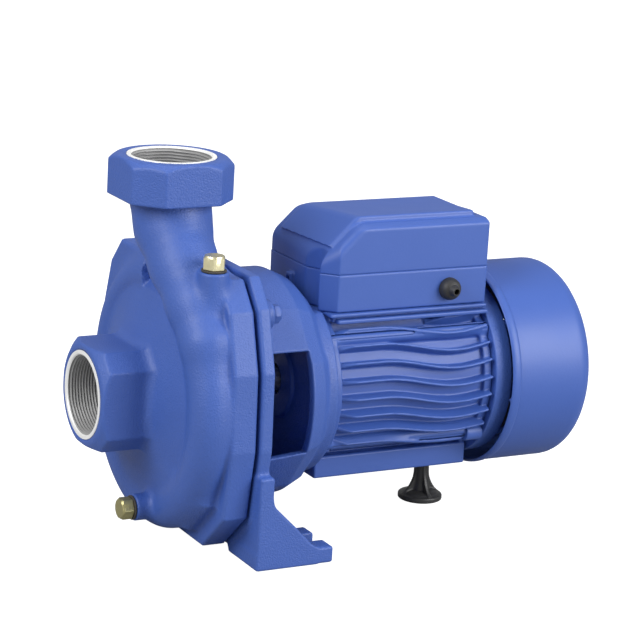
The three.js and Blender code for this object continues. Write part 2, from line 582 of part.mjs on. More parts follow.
function rearEndshield() {
  const edge = HOUSING_ROOT - 5.3;
  const plate = onShaft([[HOUSING_END - 5, edge - 5.7], [HOUSING_END - 5, edge], [HOUSING_END + GAP, edge],
    [HOUSING_END + GAP, MOTOR_RADIUS - 3], [HOUSING_END + 5, MOTOR_RADIUS - 3], [HOUSING_END + 7, 28],
    [BEARING_REAR + 17, 25],
    [BEARING_REAR + 17, 9.5], [BEARING_REAR + 14, 9.5], [BEARING_REAR + 14, 20.3],
    [BEARING_REAR - 0.3, 20.3], [BEARING_REAR - 0.3, 26], [HOUSING_END + 2, edge - 5.7]], ROUND);
  const lugs = ROD_ANGLES.map((angle) => {
    const [y, z] = polar(ROD_RADIUS, degrees(angle));
    return prism([[-6, -7], [6, -7], [6, 7], [-6, 7]].map(([along, across]) => {
      const turn = degrees(angle);
      return [y + along * Math.cos(turn) - across * Math.sin(turn),
        z + SHAFT_HEIGHT + along * Math.sin(turn) + across * Math.cos(turn)];
    }), 'x', HOUSING_END + GAP, HOUSING_END + 14);
  });
  const holes = ROD_ANGLES.map((angle) =>
    rod('x', rodSpot(angle), 3.2, HOUSING_END - 1, HOUSING_END + 15));
  return cut(join([plate, ...lugs]), holes);
}

function tieRod(angle) {
  const [, y, z] = rodSpot(angle);
  return rod('x', rodSpot(angle), 2.5, BRACKET_END - 13, HOUSING_END + 15)
    .add(prism(hexagon(8, [y, z]), 'x', HOUSING_END + 14.3, HOUSING_END + 18));
}

function coolingFan() {
  const reach = COVER_RADIUS - 19.8;
  const hub = onShaft([[FAN[0], 7], [FAN[0], 13], [FAN[0] + 2, reach - 2], [FAN[0] + 4, reach - 2],
    [FAN[0] + 4, 14], [FAN[1], 12], [FAN[1], 7]]);
  const blades = [...Array(8).keys()].map((number) => {
    const turn = degrees(45 * number);
    const outline = [[12, -1.2], [reach, -1.2], [reach, 1.2], [12, 1.2]].map(([along, across]) => [
      along * Math.cos(turn) - across * Math.sin(turn),
      SHAFT_HEIGHT + along * Math.sin(turn) + across * Math.cos(turn)]);
    return prism(outline, 'x', FAN[0] + 3, FAN[1] - 1);
  });
  return join([hub, ...blades]);
}
const fanClip = () => tube('x', SHAFT_AXIS, 7, 10, FAN[1] + 0.4, FAN[1] + 1.6);

function fanCover() {
  const wall = 1.6;
  const round = 14;
  const curve = (radius, back, inner) => [0, 1, 2, 3, 4].map((step) => {
    const angle = degrees(22.5 * (inner ? 4 - step : step));
    return [back - round + (round - (inner ? wall : 0)) * Math.sin(angle),
      radius - round + (round - (inner ? wall : 0)) * Math.cos(angle)];
  });
  const shell = onShaft([[COVER_FRONT, COVER_RADIUS - wall - 0.6], [COVER_FRONT, COVER_RADIUS],
    [COVER_FRONT + 8, COVER_RADIUS], [COVER_FRONT + 9, COVER_RADIUS - 1],
    ...curve(COVER_RADIUS - 1, COVER_BACK, false), [COVER_BACK, 0], [COVER_BACK - wall, 0],
    ...curve(COVER_RADIUS - 1, COVER_BACK, true)], ROUND);
  const slots = [...Array(16).keys()].flatMap((number) => {
    const turn = degrees(22.5 * number);
    const slot = (inner, outer) => prism([[inner, -3], [outer, -3], [outer, 3], [inner, 3]]
      .map(([along, across]) => [along * Math.cos(turn) - across * Math.sin(turn),
        SHAFT_HEIGHT + along * Math.sin(turn) + across * Math.cos(turn)]),
    'x', COVER_BACK - 5, COVER_BACK + 1);
    return number % 2 ? [slot(40, 62)] : [slot(40, 62), slot(14, 34)];
  });
  return cut(shell, slots);
}

// ---- Terminal box ----------------------------------------------------------------------------
const SEAM = PAD_TOP + 29;
const GLAND = [HOUSING_END - 34, PAD_TOP + 13.5];
const BOX_HALF = 46;
function boxOutline(inset, z, front = 0, back = 0) {
  const half = BOX_HALF - inset;
  const corner = 11 - inset * 0.4;
  const left = BOX_X[0] + inset + front;
  const right = BOX_X[1] - inset - back;
  return [[left, corner - half], [left + corner, -half], [right - 4, -half], [right, 4 - half],
    [right, half - 4], [right - 4, half], [left + 4, half], [left, half - 4]]
    .map(([x, y]) => new THREE.Vector3(x, y, z));
}

function terminalBoxBase() {
  const shell = skin([boxOutline(0, PAD_TOP + GAP), boxOutline(0, SEAM)]);
  const room = skin([boxOutline(2.6, PAD_TOP + 3), boxOutline(2.6, SEAM + 1)]);
  const leads = rod('z', [BRACKET_END + 16, 0, 0], 9, PAD_TOP - 1, PAD_TOP + 5);
  const gland = rod('y', [GLAND[0], 0, GLAND[1]], 6.4, -BOX_HALF - 4, -BOX_HALF + 6);
  const boss = block([BOX_X[0] - 4, 4, PAD_TOP + 10], [BOX_X[0] + 1, 13, PAD_TOP + 20]);
  const bossHole = rod('x', [0, 8.5, PAD_TOP + 15], 2.2, BOX_X[0] - 5, BOX_X[0] - 1);
  return cut(shell.add(boss), [room, leads, gland, bossHole]);
}

function terminalBoxCover() {
  const outside = skin([boxOutline(0, SEAM + GAP), boxOutline(0, SEAM + 23), boxOutline(2.5, SEAM + 34, 8),
    boxOutline(8, SEAM + 36.5, 10, 3), boxOutline(10, SEAM + 41, 12, 6), boxOutline(13, SEAM + 43, 13, 8)]);
  const inside = skin([boxOutline(2.6, SEAM - 1), boxOutline(2.6, SEAM + 22), boxOutline(5, SEAM + 31.5, 8),
    boxOutline(13, SEAM + 39, 13, 8)]);
  return outside.subtract(inside);
}

const BLOCK_X = BRACKET_END + 30;
const terminalBlock = () => cut(block([BLOCK_X, -34, PAD_TOP + 4], [BLOCK_X + 18, 8, PAD_TOP + 18]),
  [0, 1, 2].map((number) => rod('z', [BLOCK_X + 9, -28 + 14 * number, 0], 2.4, PAD_TOP + 8, PAD_TOP + 19)));
const terminalScrew = (number) => join([
  rod('z', [BLOCK_X + 9, -28 + 14 * number, 0], 2, PAD_TOP + 9, PAD_TOP + 19),
  rod('z', [BLOCK_X + 9, -28 + 14 * number, 0], 4, PAD_TOP + 18.3, PAD_TOP + 21)]);

function capacitor() {
  const radius = 18;
  const [start, end] = [BRACKET_END + 54, HOUSING_END - 8];
  return turned([[start, 0], [start, radius - 1.5], [start + 1.5, radius], [end - 1.5, radius],
    [end, radius - 1.5], [end, 0]], 'x', [0, 16, PAD_TOP + 24]);
}

// Rubber dome pushed into the wall of the box, with a nozzle for the cable.
function cableGland() {
  const profile = [[-5, 3], [-5, 8], [-3, 8], [-2.9, 6], [GAP, 6], [GAP, 8.6], [3, 8], [6.5, 5.6], [8, 4],
    [12.5, 3.4], [12.5, 2.2], [6, 2.2], [2, 3]];
  return turned(profile.map(([out, radius]) => [-BOX_HALF - out, radius]), 'y', [GLAND[0], 0, GLAND[1]]);
}

function supportFoot() {
  const base = SHAFT_HEIGHT - MOTOR_RADIUS - 3 - GAP;
  const stand = turned([[0, 0], [0, 16.5], [1.5, 17.6], [4, 17.6], [6.5, 15], [7.5, 5], [base - 8, 4.6],
    [base - 7, 6.6], [base, 6.6], [base, 4], [base + 9, 4], [base + 9, 0]], 'z', [SUPPORT_X, 0, 0]);
  const web = [[5.5, 15], [5.5, -15], [18, -5], [base - 6, -4], [base - 6, 4], [18, 5]];
  const along = prism(web.map(([z, x]) => [z, x + SUPPORT_X]), 'y', -1.4, 1.4);
  const across = prism(web.map(([z, y]) => [y, z]), 'x', SUPPORT_X - 1.4, SUPPORT_X + 1.4);
  return join([stand, along, across]);
}

// ---- The pump, piece by piece ------------------------------------------------------------------
place('pump_casing', pumpCasing(), enamel());
place('casing_gasket', casingGasket(), fibre());
place('impeller', impeller(), castIron());
place('impeller_key', impellerKey(), steel());
place('impeller_washer', impellerWasher(), steel());
place('impeller_nut', impellerNut(), brass());
place('seal_seat', sealSeat(), ceramic());
place('seal_boot', sealBoot(), rubber());
place('seal_ring', sealRing(), carbon());
place('seal_case', sealCase(), steel());
place('seal_spring', sealSpring(), steel());
BOLT_SPOTS.forEach((spot, number) => {
  place(`casing_bolt_${number + 1}`, casingBolt(spot), steel());
  place(`casing_washer_${number + 1}`, boltWasher(spot), steel());
});
place('priming_plug', plug('z', PRIMING, 1), brass());
place('priming_washer', plugWasher('z', PRIMING, 1), fibre());
place('drain_plug', plug('x', DRAIN, -1), brass());
place('drain_washer', plugWasher('x', DRAIN, -1), fibre());
place('motor_bracket', motorBracket(), enamel());
place('slinger', slinger(), rubber());
place('shaft', shaft(), steel());
place('rotor_core', rotorCore(), aluminium());
place('front_bearing_outer', bearingRace(BEARING_FRONT + 0.3, BIG, true), steel());
place('front_bearing_inner', bearingRace(BEARING_FRONT + 0.3, BIG, false), steel());
place('front_bearing_cage', bearingCage(BEARING_FRONT + 0.3, BIG), steel());
place('rear_bearing_outer', bearingRace(BEARING_REAR, SMALL, true), steel());
place('rear_bearing_inner', bearingRace(BEARING_REAR, SMALL, false), steel());
place('rear_bearing_cage', bearingCage(BEARING_REAR, SMALL), steel());
place('wave_washer', waveWasher(), steel());
place('motor_housing', motorHousing(), enamel());
place('stator_core', statorCore(), castIron());
place('winding_front', coilEnd(CORE[0] - 20, CORE[0] - GAP), copper());
place('winding_rear', coilEnd(CORE[1] + GAP, CORE[1] + 20), copper());
place('rear_endshield', rearEndshield(), enamel());
ROD_ANGLES.forEach((angle, number) => place(`tie_rod_${number + 1}`, tieRod(angle), steel()));
place('cooling_fan', coolingFan(), blackPlastic());
place('fan_clip', fanClip(), steel());
place('fan_cover', fanCover(), enamel());
place('terminal_box_base', terminalBoxBase(), enamel());
place('terminal_box_cover', terminalBoxCover(), enamel());
place('terminal_block', terminalBlock(), blackPlastic());
[0, 1, 2].forEach((number) => place(`terminal_screw_${number + 1}`, terminalScrew(number), brass()));
place('capacitor', capacitor(), aluminium());
place('cable_gland', cableGland(), rubber());
place('support_foot', supportFoot(), blackPlastic());

export default parts;
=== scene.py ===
"""Looks of a close coupled centrifugal water pump, built round the pieces of its frame.

The cast and moulded pieces are distance fields meshed on a grid, so that they have the fillets of a casting.
The turned pieces are lathed. Sizes are in millimetres: X runs along the shaft towards the fan, Z points up
and the feet stand on z = 0.
"""
import math

import bmesh
import bpy
import numpy as np
from mathutils import Matrix, Vector


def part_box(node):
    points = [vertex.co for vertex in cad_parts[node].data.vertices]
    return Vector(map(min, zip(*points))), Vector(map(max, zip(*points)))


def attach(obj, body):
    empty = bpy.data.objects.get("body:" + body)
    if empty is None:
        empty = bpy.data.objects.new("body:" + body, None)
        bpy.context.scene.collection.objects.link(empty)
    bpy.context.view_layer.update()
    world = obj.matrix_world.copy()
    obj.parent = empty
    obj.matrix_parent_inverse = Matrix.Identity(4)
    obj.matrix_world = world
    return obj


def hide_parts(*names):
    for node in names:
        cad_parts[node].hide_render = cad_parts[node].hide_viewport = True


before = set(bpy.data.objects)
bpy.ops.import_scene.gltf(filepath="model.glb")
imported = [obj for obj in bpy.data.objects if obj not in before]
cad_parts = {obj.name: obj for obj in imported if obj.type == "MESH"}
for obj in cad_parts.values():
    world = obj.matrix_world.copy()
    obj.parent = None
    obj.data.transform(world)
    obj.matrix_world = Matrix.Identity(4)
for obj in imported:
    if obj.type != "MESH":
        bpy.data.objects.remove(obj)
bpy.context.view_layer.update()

MM = 0.001


# ---- Places read from the frame -----------------------------------------------------
def span(node):
    """Lowest and highest corner of a piece of the frame, in millimetres."""
    low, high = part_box(node)
    return np.array(low) / MM, np.array(high) / MM


casing_low, casing_high = span("pump_casing")
bracket_high = span("motor_bracket")[1]
housing_low, housing_high = span("motor_housing")
cover_low, cover_high = span("fan_cover")
box_low, box_high = span("terminal_box_base")
lid_low, lid_high = span("terminal_box_cover")
shaft_low, shaft_high = span("shaft")
gasket_low = span("casing_gasket")[0]
plug_low, plug_high = span("priming_plug")
drain_low, drain_high = span("drain_plug")
stand_low, stand_high = span("support_foot")
gland_low, gland_high = span("cable_gland")

SEAT_GAP = 0.3  # between two pieces that seat on each other
SHAFT_Z = float(shaft_low[2] + shaft_high[2]) / 2
SUCTION_X = float(casing_low[0])
DISCHARGE_X = SUCTION_X + 64.0
TOP_Z = float(casing_high[2])
CASING_BACK = float(gasket_low[0]) - 0.5
FLANGE_HALF = 105.0  # half width of the casing flange
FLANGE_FRONT = CASING_BACK + 2.5
FLANGE_BACK = FLANGE_FRONT + 9.5
BRACKET_END = float(housing_low[0]) - SEAT_GAP
HOUSING_END = float(housing_high[0])
FOOT_HALF = float(bracket_high[1])
PAD_TOP = float(box_low[2]) - SEAT_GAP
COVER_RADIUS = float(cover_high[1])
MOTOR_HALF = float(housing_high[1])
ROD_RADIUS = 64.8  # of the circle the tie rods stand on
ROD_ANGLES = [40, 140, 220, 320]
BOLT_SPOTS = [(78, 73), (-78, 73), (-78, -74), (78, -74)]


# ---- Distance fields ----------------------------------------------------------------
def blend(a, b, width):
    """Union of two fields with a fillet of about the given width."""
    gap = np.maximum(width - np.abs(a - b), 0.0) / width
    return np.minimum(a, b) - gap * gap * width * 0.25


def carve(a, b, width):
    """Field a without field b, with a rounded edge of about the given width."""
    return -blend(-a, b, width)


def clip(a, b, width):
    """What is in both fields, with a rounded edge of about the given width."""
    return -blend(-a, -b, width)


def brick(x, y, z, low, high, rounding=0.0):
    """Box between two corners with rounded edges."""
    reach = []
    for value, start, end in zip((x, y, z), low, high):
        reach.append(np.abs(value - (start + end) / 2) - (end - start) / 2 + rounding)
    outside = np.sqrt(sum(np.maximum(r, 0.0) ** 2 for r in reach))
    inside = np.minimum(np.maximum(np.maximum(reach[0], reach[1]), reach[2]), 0.0)
    return outside + inside - rounding


def disc(radial, along, radius, start, end, rounding=0.0):
    """Cylinder, from the distance to its axis and the place along it."""
    a = radial - radius + rounding
    b = np.abs(along - (start + end) / 2) - (end - start) / 2 + rounding
    outside = np.sqrt(np.maximum(a, 0.0) ** 2 + np.maximum(b, 0.0) ** 2)
    return outside + np.minimum(np.maximum(a, b), 0.0) - rounding


def outline(u, v, points):
    """Signed distance to a closed polygon in the (u, v) plane."""
    u, v = np.broadcast_arrays(u, v)
    best = np.full(u.shape, np.inf)
    sign = np.ones(u.shape)
    for (u0, v0), (u1, v1) in zip(points, points[1:] + points[:1]):
        du, dv = u1 - u0, v1 - v0
        t = np.clip(((u - u0) * du + (v - v0) * dv) / (du * du + dv * dv), 0.0, 1.0)
        best = np.minimum(best, (u - u0 - t * du) ** 2 + (v - v0 - t * dv) ** 2)
        crosses = (v0 <= v) != (v1 <= v)
        left = (u1 - u0) * (v - v0) / (dv if dv else 1.0) + u0 > u
        sign = np.where(crosses & left, -sign, sign)
    return sign * np.sqrt(best)


def slab(profile, along, start, end, rounding):
    """Extrusion of a two dimensional field, with rounded rims."""
    a = profile + rounding
    b = np.abs(along - (start + end) / 2) - (end - start) / 2 + rounding
    outside = np.sqrt(np.maximum(a, 0.0) ** 2 + np.maximum(b, 0.0) ** 2)
    return outside + np.minimum(np.maximum(a, b), 0.0) - rounding


def cone(x, y, z, start, end, radius_start, radius_end):
    """Round ended rod whose radius changes along its length."""
    start, end = np.array(start), np.array(end)
    run = end - start
    t = ((x - start[0]) * run[0] + (y - start[1]) * run[1] + (z - start[2]) * run[2]) / (run @ run)
    t = np.clip(t, 0.0, 1.0)
    away = (x - start[0] - t * run[0]) ** 2 + (y - start[1] - t * run[1]) ** 2
    away = away + (z - start[2] - t * run[2]) ** 2
    return np.sqrt(away) - radius_start - t * (radius_end - radius_start)


def radial_yz(y, z):
    """Distance from the shaft axis."""
    return np.sqrt(y**2 + (z - SHAFT_Z) ** 2)


# ---- Meshing ------------------------------------------------------------------------
EDGES = [(a, b) for a in range(8) for b in range(8) if b > a and bin(a ^ b).count("1") == 1]


def net(field, low, high, step):
    """Vertices and quads of the zero surface of a field, by surface nets."""
    axes = [np.arange(a - 2 * step, b + 3 * step, step) for a, b in zip(low, high)]
    grid = np.meshgrid(*axes, indexing="ij", sparse=True)
    d = np.ascontiguousarray(np.broadcast_to(field(*grid), [len(a) for a in axes]), dtype=np.float32)
    inside = d < 0
    count = np.zeros([n - 1 for n in d.shape], np.int8)
    corner = [((c >> 2) & 1, (c >> 1) & 1, c & 1) for c in range(8)]
    for i, j, k in corner:
        count += inside[i : d.shape[0] - 1 + i, j : d.shape[1] - 1 + j, k : d.shape[2] - 1 + k]
    cells = np.argwhere((count > 0) & (count < 8))
    values = [d[tuple((cells + c).T)] for c in corner]
    total = np.zeros((len(cells), 3))
    hits = np.zeros(len(cells))
    for a, b in EDGES:
        crossing = (values[a] < 0) != (values[b] < 0)
        fall = values[a] - values[b]
        t = np.where(crossing, values[a] / np.where(fall == 0, 1, fall), 0.0)
        point = np.array(corner[a]) + t[:, None] * (np.array(corner[b]) - np.array(corner[a]))
        total += point * crossing[:, None]
        hits += crossing
    places = np.array([a[0] for a in axes]) + (cells + total / hits[:, None]) * step
    number = np.full(count.shape, -1, np.int64)
    number[tuple(cells.T)] = np.arange(len(cells))
    quads = []
    for axis in range(3):
        ahead = np.roll(inside, -1, axis)
        change = inside != ahead
        index = [slice(1, -1)] * 3
        where = np.argwhere(change[tuple(index)]) + 1
        u, v = (axis + 1) % 3, (axis + 2) % 3
        ring = []
        for du, dv in ((0, 0), (-1, 0), (-1, -1), (0, -1)):
            cell = where.copy()
            cell[:, u] += du
            cell[:, v] += dv
            ring.append(number[tuple(cell.T)])
        quad = np.stack(ring, 1)
        leaving = inside[tuple(where.T)]
        quad[~leaving] = quad[~leaving][:, ::-1]
        quads.append(quad[(quad >= 0).all(1)])
    return places, np.concatenate(quads)


def settle(field, places, step, rounds=2):
    """Moves vertices on to the exact surface of the field."""
    for _ in range(rounds):
        x, y, z = places.T
        here = field(x, y, z)
        h = 0.05
        slope = np.stack(
            [field(x + h, y, z) - here, field(x, y + h, z) - here, field(x, y, z + h) - here], 1
        ) / h
        size = np.maximum((slope**2).sum(1), 0.2)
        move = slope * (here / size)[:, None]
        length = np.linalg.norm(move, axis=1)
        move *= np.minimum(1.0, 0.6 * step / np.maximum(length, 1e-9))[:, None]
        places = places - move
    return places


def new_object(name, mesh, material, body="pump_body"):
    """Links a mesh as a named piece that rides on a body."""
    piece = bpy.data.objects.new(name, mesh)
    bpy.context.scene.collection.objects.link(piece)
    if material is not None:
        mesh.materials.append(material)
    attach(piece, body)
    return piece


def cast(name, field, low, high, step, material, body="pump_body"):
    """A piece made from a distance field."""
    step = step * 1.0
    places, quads = net(field, low, high, step)
    places = settle(field, places, step)
    mesh = bpy.data.meshes.new(name)
    mesh.vertices.add(len(places))
    mesh.vertices.foreach_set("co", (places * MM).astype(np.float32).ravel())
    mesh.loops.add(len(quads) * 4)
    mesh.loops.foreach_set("vertex_index", quads.astype(np.int32).ravel())
    mesh.polygons.add(len(quads))
    mesh.polygons.foreach_set("loop_start", np.arange(0, len(quads) * 4, 4, dtype=np.int32))
    mesh.update(calc_edges=True)
    mesh.validate()
    mesh.polygons.foreach_set("use_smooth", np.ones(len(mesh.polygons), bool))
    return new_object(name, mesh, material, body)


# Directions across and along a turning axis.
TURNING = {
    "x": (Vector((0, 1, 0)), Vector((0, 0, 1)), Vector((1, 0, 0))),
    "y": (Vector((0, 0, 1)), Vector((1, 0, 0)), Vector((0, 1, 0))),
    "z": (Vector((1, 0, 0)), Vector((0, 1, 0)), Vector((0, 0, 1))),
}


def lathe(name, profile, axis, centre, material, body="pump_body", sides=96, sharp=35):
    """Turned piece: closed profile of (along, radius) round a line through the centre."""
    across, up, along = TURNING[axis]
    mesh = bpy.data.meshes.new(name)
    build = bmesh.new()
    rings = []
    for distance, radius in profile:
        middle = Vector(centre) + along * distance
        if radius < 1e-6:
            rings.append([build.verts.new(middle * MM)])
            continue
        ring = []
        for side in range(sides):
            angle = 2 * math.pi * side / sides
            point = middle + (across * math.cos(angle) + up * math.sin(angle)) * radius
            ring.append(build.verts.new(point * MM))
        rings.append(ring)
    for near, far in zip(rings, rings[1:] + rings[:1]):
        for side in range(sides):
            after = (side + 1) % sides
            corners = [near[side % len(near)], near[after % len(near)]]
            corners += [far[after % len(far)], far[side % len(far)]]
            unique = [c for n, c in enumerate(corners) if c not in corners[:n]]
            if len(unique) > 2:
                build.faces.new(unique)
    bmesh.ops.recalc_face_normals(build, faces=build.faces)
    return finish_mesh(name, mesh, build, material, body, sharp)


def finish_mesh(name, mesh, build, material, body, sharp):
    """Writes a bmesh into a piece, smooth except over edges sharper than the given angle."""
    for face in build.faces:
        face.smooth = True
    limit = math.radians(sharp)
    for edge in build.edges:
        edge.smooth = len(edge.link_faces) == 2 and edge.calc_face_angle(0.0) < limit
    build.to_mesh(mesh)
    build.free()
    return new_object(name, mesh, material, body)


def rounded(profile, radius, steps=4):
    """Profile with its corners rounded, for a lathe. Points on the axis stay."""
    points = []
    count = len(profile)
    for place, corner in enumerate(profile):
        here = Vector((corner[0], corner[1]))
        before = Vector(profile[place - 1][:2])
        after = Vector(profile[(place + 1) % count][:2])
        size = corner[2] if len(corner) > 2 else radius
        if corner[1] < 1e-6 or size <= 0:
            points.append((here.x, here.y))
            continue
        back, ahead = (before - here), (after - here)
        reach = min(size, back.length * 0.45, ahead.length * 0.45)
        a, b = here + back.normalized() * reach, here + ahead.normalized() * reach
        for step in range(steps + 1):
            t = step / steps
            point = a * (1 - t) ** 2 + here * 2 * t * (1 - t) + b * t * t
            points.append((point.x, point.y))
    return points


# ---- Materials ----------------------------------------------------------------------
def shader(name, color, roughness, metallic=0.0, coat=0.0, grain=0.0, grain_size=900.0, mottle=0.06):
    """Procedural surface: base colour with slow mottling, fine bump grain and varied gloss."""
    material = bpy.data.materials.new(name)
    material.use_nodes = True
    nodes, links = material.node_tree.nodes, material.node_tree.links
    surface = nodes["Principled BSDF"]
    place = nodes.new("ShaderNodeTexCoord")
    slow = nodes.new("ShaderNodeTexNoise")
    slow.inputs["Scale"].default_value = 35.0
    slow.inputs["Detail"].default_value = 5.0
    links.new(place.outputs["Object"], slow.inputs["Vector"])
    tint = nodes.new("ShaderNodeMix")
    tint.data_type = "RGBA"
    dark = [c * (1 - mottle) for c in color]
    light = [min(1.0, c * (1 + mottle)) for c in color]
    tint.inputs["A"].default_value = (*dark, 1.0)
    tint.inputs["B"].default_value = (*light, 1.0)
    links.new(slow.outputs["Fac"], tint.inputs["Factor"])
    links.new(tint.outputs["Result"], surface.inputs["Base Color"])
    gloss = nodes.new("ShaderNodeMapRange")
    gloss.inputs["To Min"].default_value = max(0.02, roughness - 0.06)
    gloss.inputs["To Max"].default_value = roughness + 0.06
    links.new(slow.outputs["Fac"], gloss.inputs["Value"])
    links.new(gloss.outputs["Result"], surface.inputs["Roughness"])
    surface.inputs["Metallic"].default_value = metallic
    surface.inputs["Coat Weight"].default_value = coat
    surface.inputs["Coat Roughness"].default_value = 0.25
    if grain:
        fine = nodes.new("ShaderNodeTexNoise")
        fine.inputs["Scale"].default_value = grain_size
        fine.inputs["Detail"].default_value = 3.0
        links.new(place.outputs["Object"], fine.inputs["Vector"])
        bump = nodes.new("ShaderNodeBump")
        bump.inputs["Strength"].default_value = grain
        bump.inputs["Distance"].default_value = 0.0006
        links.new(fine.outputs["Fac"], bump.inputs["Height"])
        links.new(bump.outputs["Normal"], surface.inputs["Normal"])
    return material


BLUE = (0.044, 0.104, 0.390)
blue_cast = shader("blue_cast", BLUE, 0.50, coat=0.08, grain=0.85, grain_size=800.0)
blue_smooth = shader("blue_smooth", BLUE, 0.48, coat=0.06, grain=0.12, grain_size=500.0, mottle=0.03)
# Machined ring faces of the ports: near white, partly the bare metal's own colour and partly a painted
# highlight of its shine.
machined = shader("machined", (0.86, 0.86, 0.85), 0.5, metallic=0.2, grain=0.1, grain_size=1500.0)
thread_grey = shader("thread_grey", (0.34, 0.34, 0.34), 0.55, metallic=0.3, grain=0.15, grain_size=1500.0)
bare_iron = shader("bare_iron", (0.36, 0.36, 0.36), 0.5, metallic=0.4, grain=0.5, grain_size=700.0)
brass = shader("brass", (0.80, 0.64, 0.28), 0.25, metallic=1.0, grain=0.05)
pale_brass = shader("pale_brass", (0.88, 0.82, 0.52), 0.28, metallic=0.9, grain=0.05)
dull_brass = shader("dull_brass", (0.46, 0.42, 0.20), 0.4, metallic=0.8, grain=0.3)
steel = shader("steel", (0.55, 0.56, 0.58), 0.3, metallic=1.0, grain=0.08)
zinc = shader("zinc", (0.62, 0.63, 0.66), 0.35, metallic=0.9, grain=0.1)
black_rubber = shader("black_rubber", (0.022, 0.022, 0.023), 0.55, grain=0.15)
black_plastic = shader("black_plastic", (0.035, 0.035, 0.035), 0.42, grain=0.2)
fibre = shader("fibre", (0.05, 0.045, 0.04), 0.8, grain=0.4)
copper = shader("copper", (0.50, 0.20, 0.08), 0.35, metallic=0.8, grain=0.6, grain_size=300.0)
aluminium = shader("aluminium", (0.60, 0.61, 0.62), 0.35, metallic=1.0, grain=0.1)
ceramic = shader("ceramic", (0.80, 0.78, 0.72), 0.2)
carbon = shader("carbon", (0.03, 0.03, 0.032), 0.4)


# ---- Pump casing --------------------------------------------------------------------
def flange_points(half):
    """Corners of the casing flange, as (y, z)."""
    right = [(0.6, -0.99), (0.92, -0.7), (1.0, -0.2), (0.985, 0.34), (0.86, 0.75), (0.69, 0.94)]
    left = [(-y, z) for y, z in reversed(right)]
    return [(y * half, SHAFT_Z + z * half) for y, z in right + left]


def cut_square(half, corner, u0=0.0, v0=0.0):
    """Square with its corners cut off."""
    short = half - corner
    points = [(half, -short), (half, short), (short, half), (-short, half)]
    points += [(-half, short), (-half, -short), (-short, -half), (short, -half)]
    return [(u + u0, v + v0) for u, v in points]


RIM_FRONT = CASING_BACK - 33.5
WALL_FRONT = SUCTION_X + 37.0
CASTING_WALL = 6.0
CHAMBER_RADIUS = 84.4  # room of the impeller
SPIGOT_RADIUS = 84.0  # of the bracket, in the chamber
BOSS_HALF = 37.5  # of the suction boss, over its flats
COLLAR_HALF = 40.7  # of the discharge collar, over its flats
COLLAR_HEIGHT = 31.0
TRIM_TOP = 221.0  # below this height nothing of the casing passes its back face

# The volute widens from its start, in degrees round the shaft from +Z, to the throat below the neck.
SCROLL_X = RIM_FRONT + 5.0
SCROLL_START, SCROLL_SWEEP = 24.0, 266.0
SCROLL_RADIUS, THROAT_RADIUS = 86.0, 88.0
SCROLL_SIZE, THROAT_SIZE, NECK_SIZE = 14.0, 17.5, 31.0
NECK_SHARES = (0.0, 0.2, 0.4, 0.6, 0.8, 1.0)

# A G2 port: radii of its machined ring, of the bore behind it and of the thread.
PORT_RING = 33.0
PORT_BORE = 30.0
THREAD_CREST = 28.3
THREAD_HEIGHT = 1.48
THREAD_PITCH = 2.309
THREAD_RELIEF = 29.8

# The two screw plugs: length below the seat, width over the flats, radii of hole and shank, and the seats.
PLUG_REACH = 13.0
PLUG_FLATS = 15.0
PLUG_HOLE = 6.9
PLUG_SHANK = 6.5
PRIMING = ((plug_low[0] + plug_high[0]) / 2, (plug_low[1] + plug_high[1]) / 2, plug_low[2] + PLUG_REACH)
DRAIN = (drain_high[0] - PLUG_REACH, (drain_low[1] + drain_high[1]) / 2, (drain_low[2] + drain_high[2]) / 2)


def scroll_share(y, z):
    """How far round the volute a point is, 0 behind the discharge neck and 1 at the throat."""
    angle = np.degrees(np.arctan2(y, z - SHAFT_Z)) % 360.0
    return (angle - SCROLL_START) / SCROLL_SWEEP


def scroll(x, y, z, wall=0.0):
    """Widening spiral passage of the volute."""
    share = scroll_share(y, z)
    inside = (share >= -0.06) & (share <= 1.06)
    s = np.clip(share, 0.0, 1.0)
    middle = SCROLL_RADIUS + (THROAT_RADIUS - SCROLL_RADIUS) * s
    size = SCROLL_SIZE + (THROAT_SIZE - SCROLL_SIZE) * s - wall
    d = np.sqrt((radial_yz(y, z) - middle) ** 2 + (x - SCROLL_X) ** 2) - size
    return np.where(inside, d, np.maximum(d, 12.0))


def neck(x, y, z, wall=0.0):
    """Passage from the throat up to the discharge collar."""
    angle = math.radians(SCROLL_START + SCROLL_SWEEP)
    y0, z0 = THROAT_RADIUS * math.sin(angle), SHAFT_Z + THROAT_RADIUS * math.cos(angle)
    top = TOP_Z - COLLAR_HEIGHT + 3.0
    stations = []
    for share in NECK_SHARES:
        bend = (1 + math.cos(math.pi * share)) / 2
        stations.append((SCROLL_X + (DISCHARGE_X - SCROLL_X) * share, y0 * bend, z0 + (top - z0) * share))
    sizes = [THROAT_SIZE + (NECK_SIZE - THROAT_SIZE) * share**1.3 - wall for share in NECK_SHARES]
    d = None
    for a, b, ra, rb in zip(stations, stations[1:], sizes, sizes[1:]):
        piece = cone(x, y, z, a, b, ra, rb)
        d = piece if d is None else blend(d, piece, 6.0)
    return d


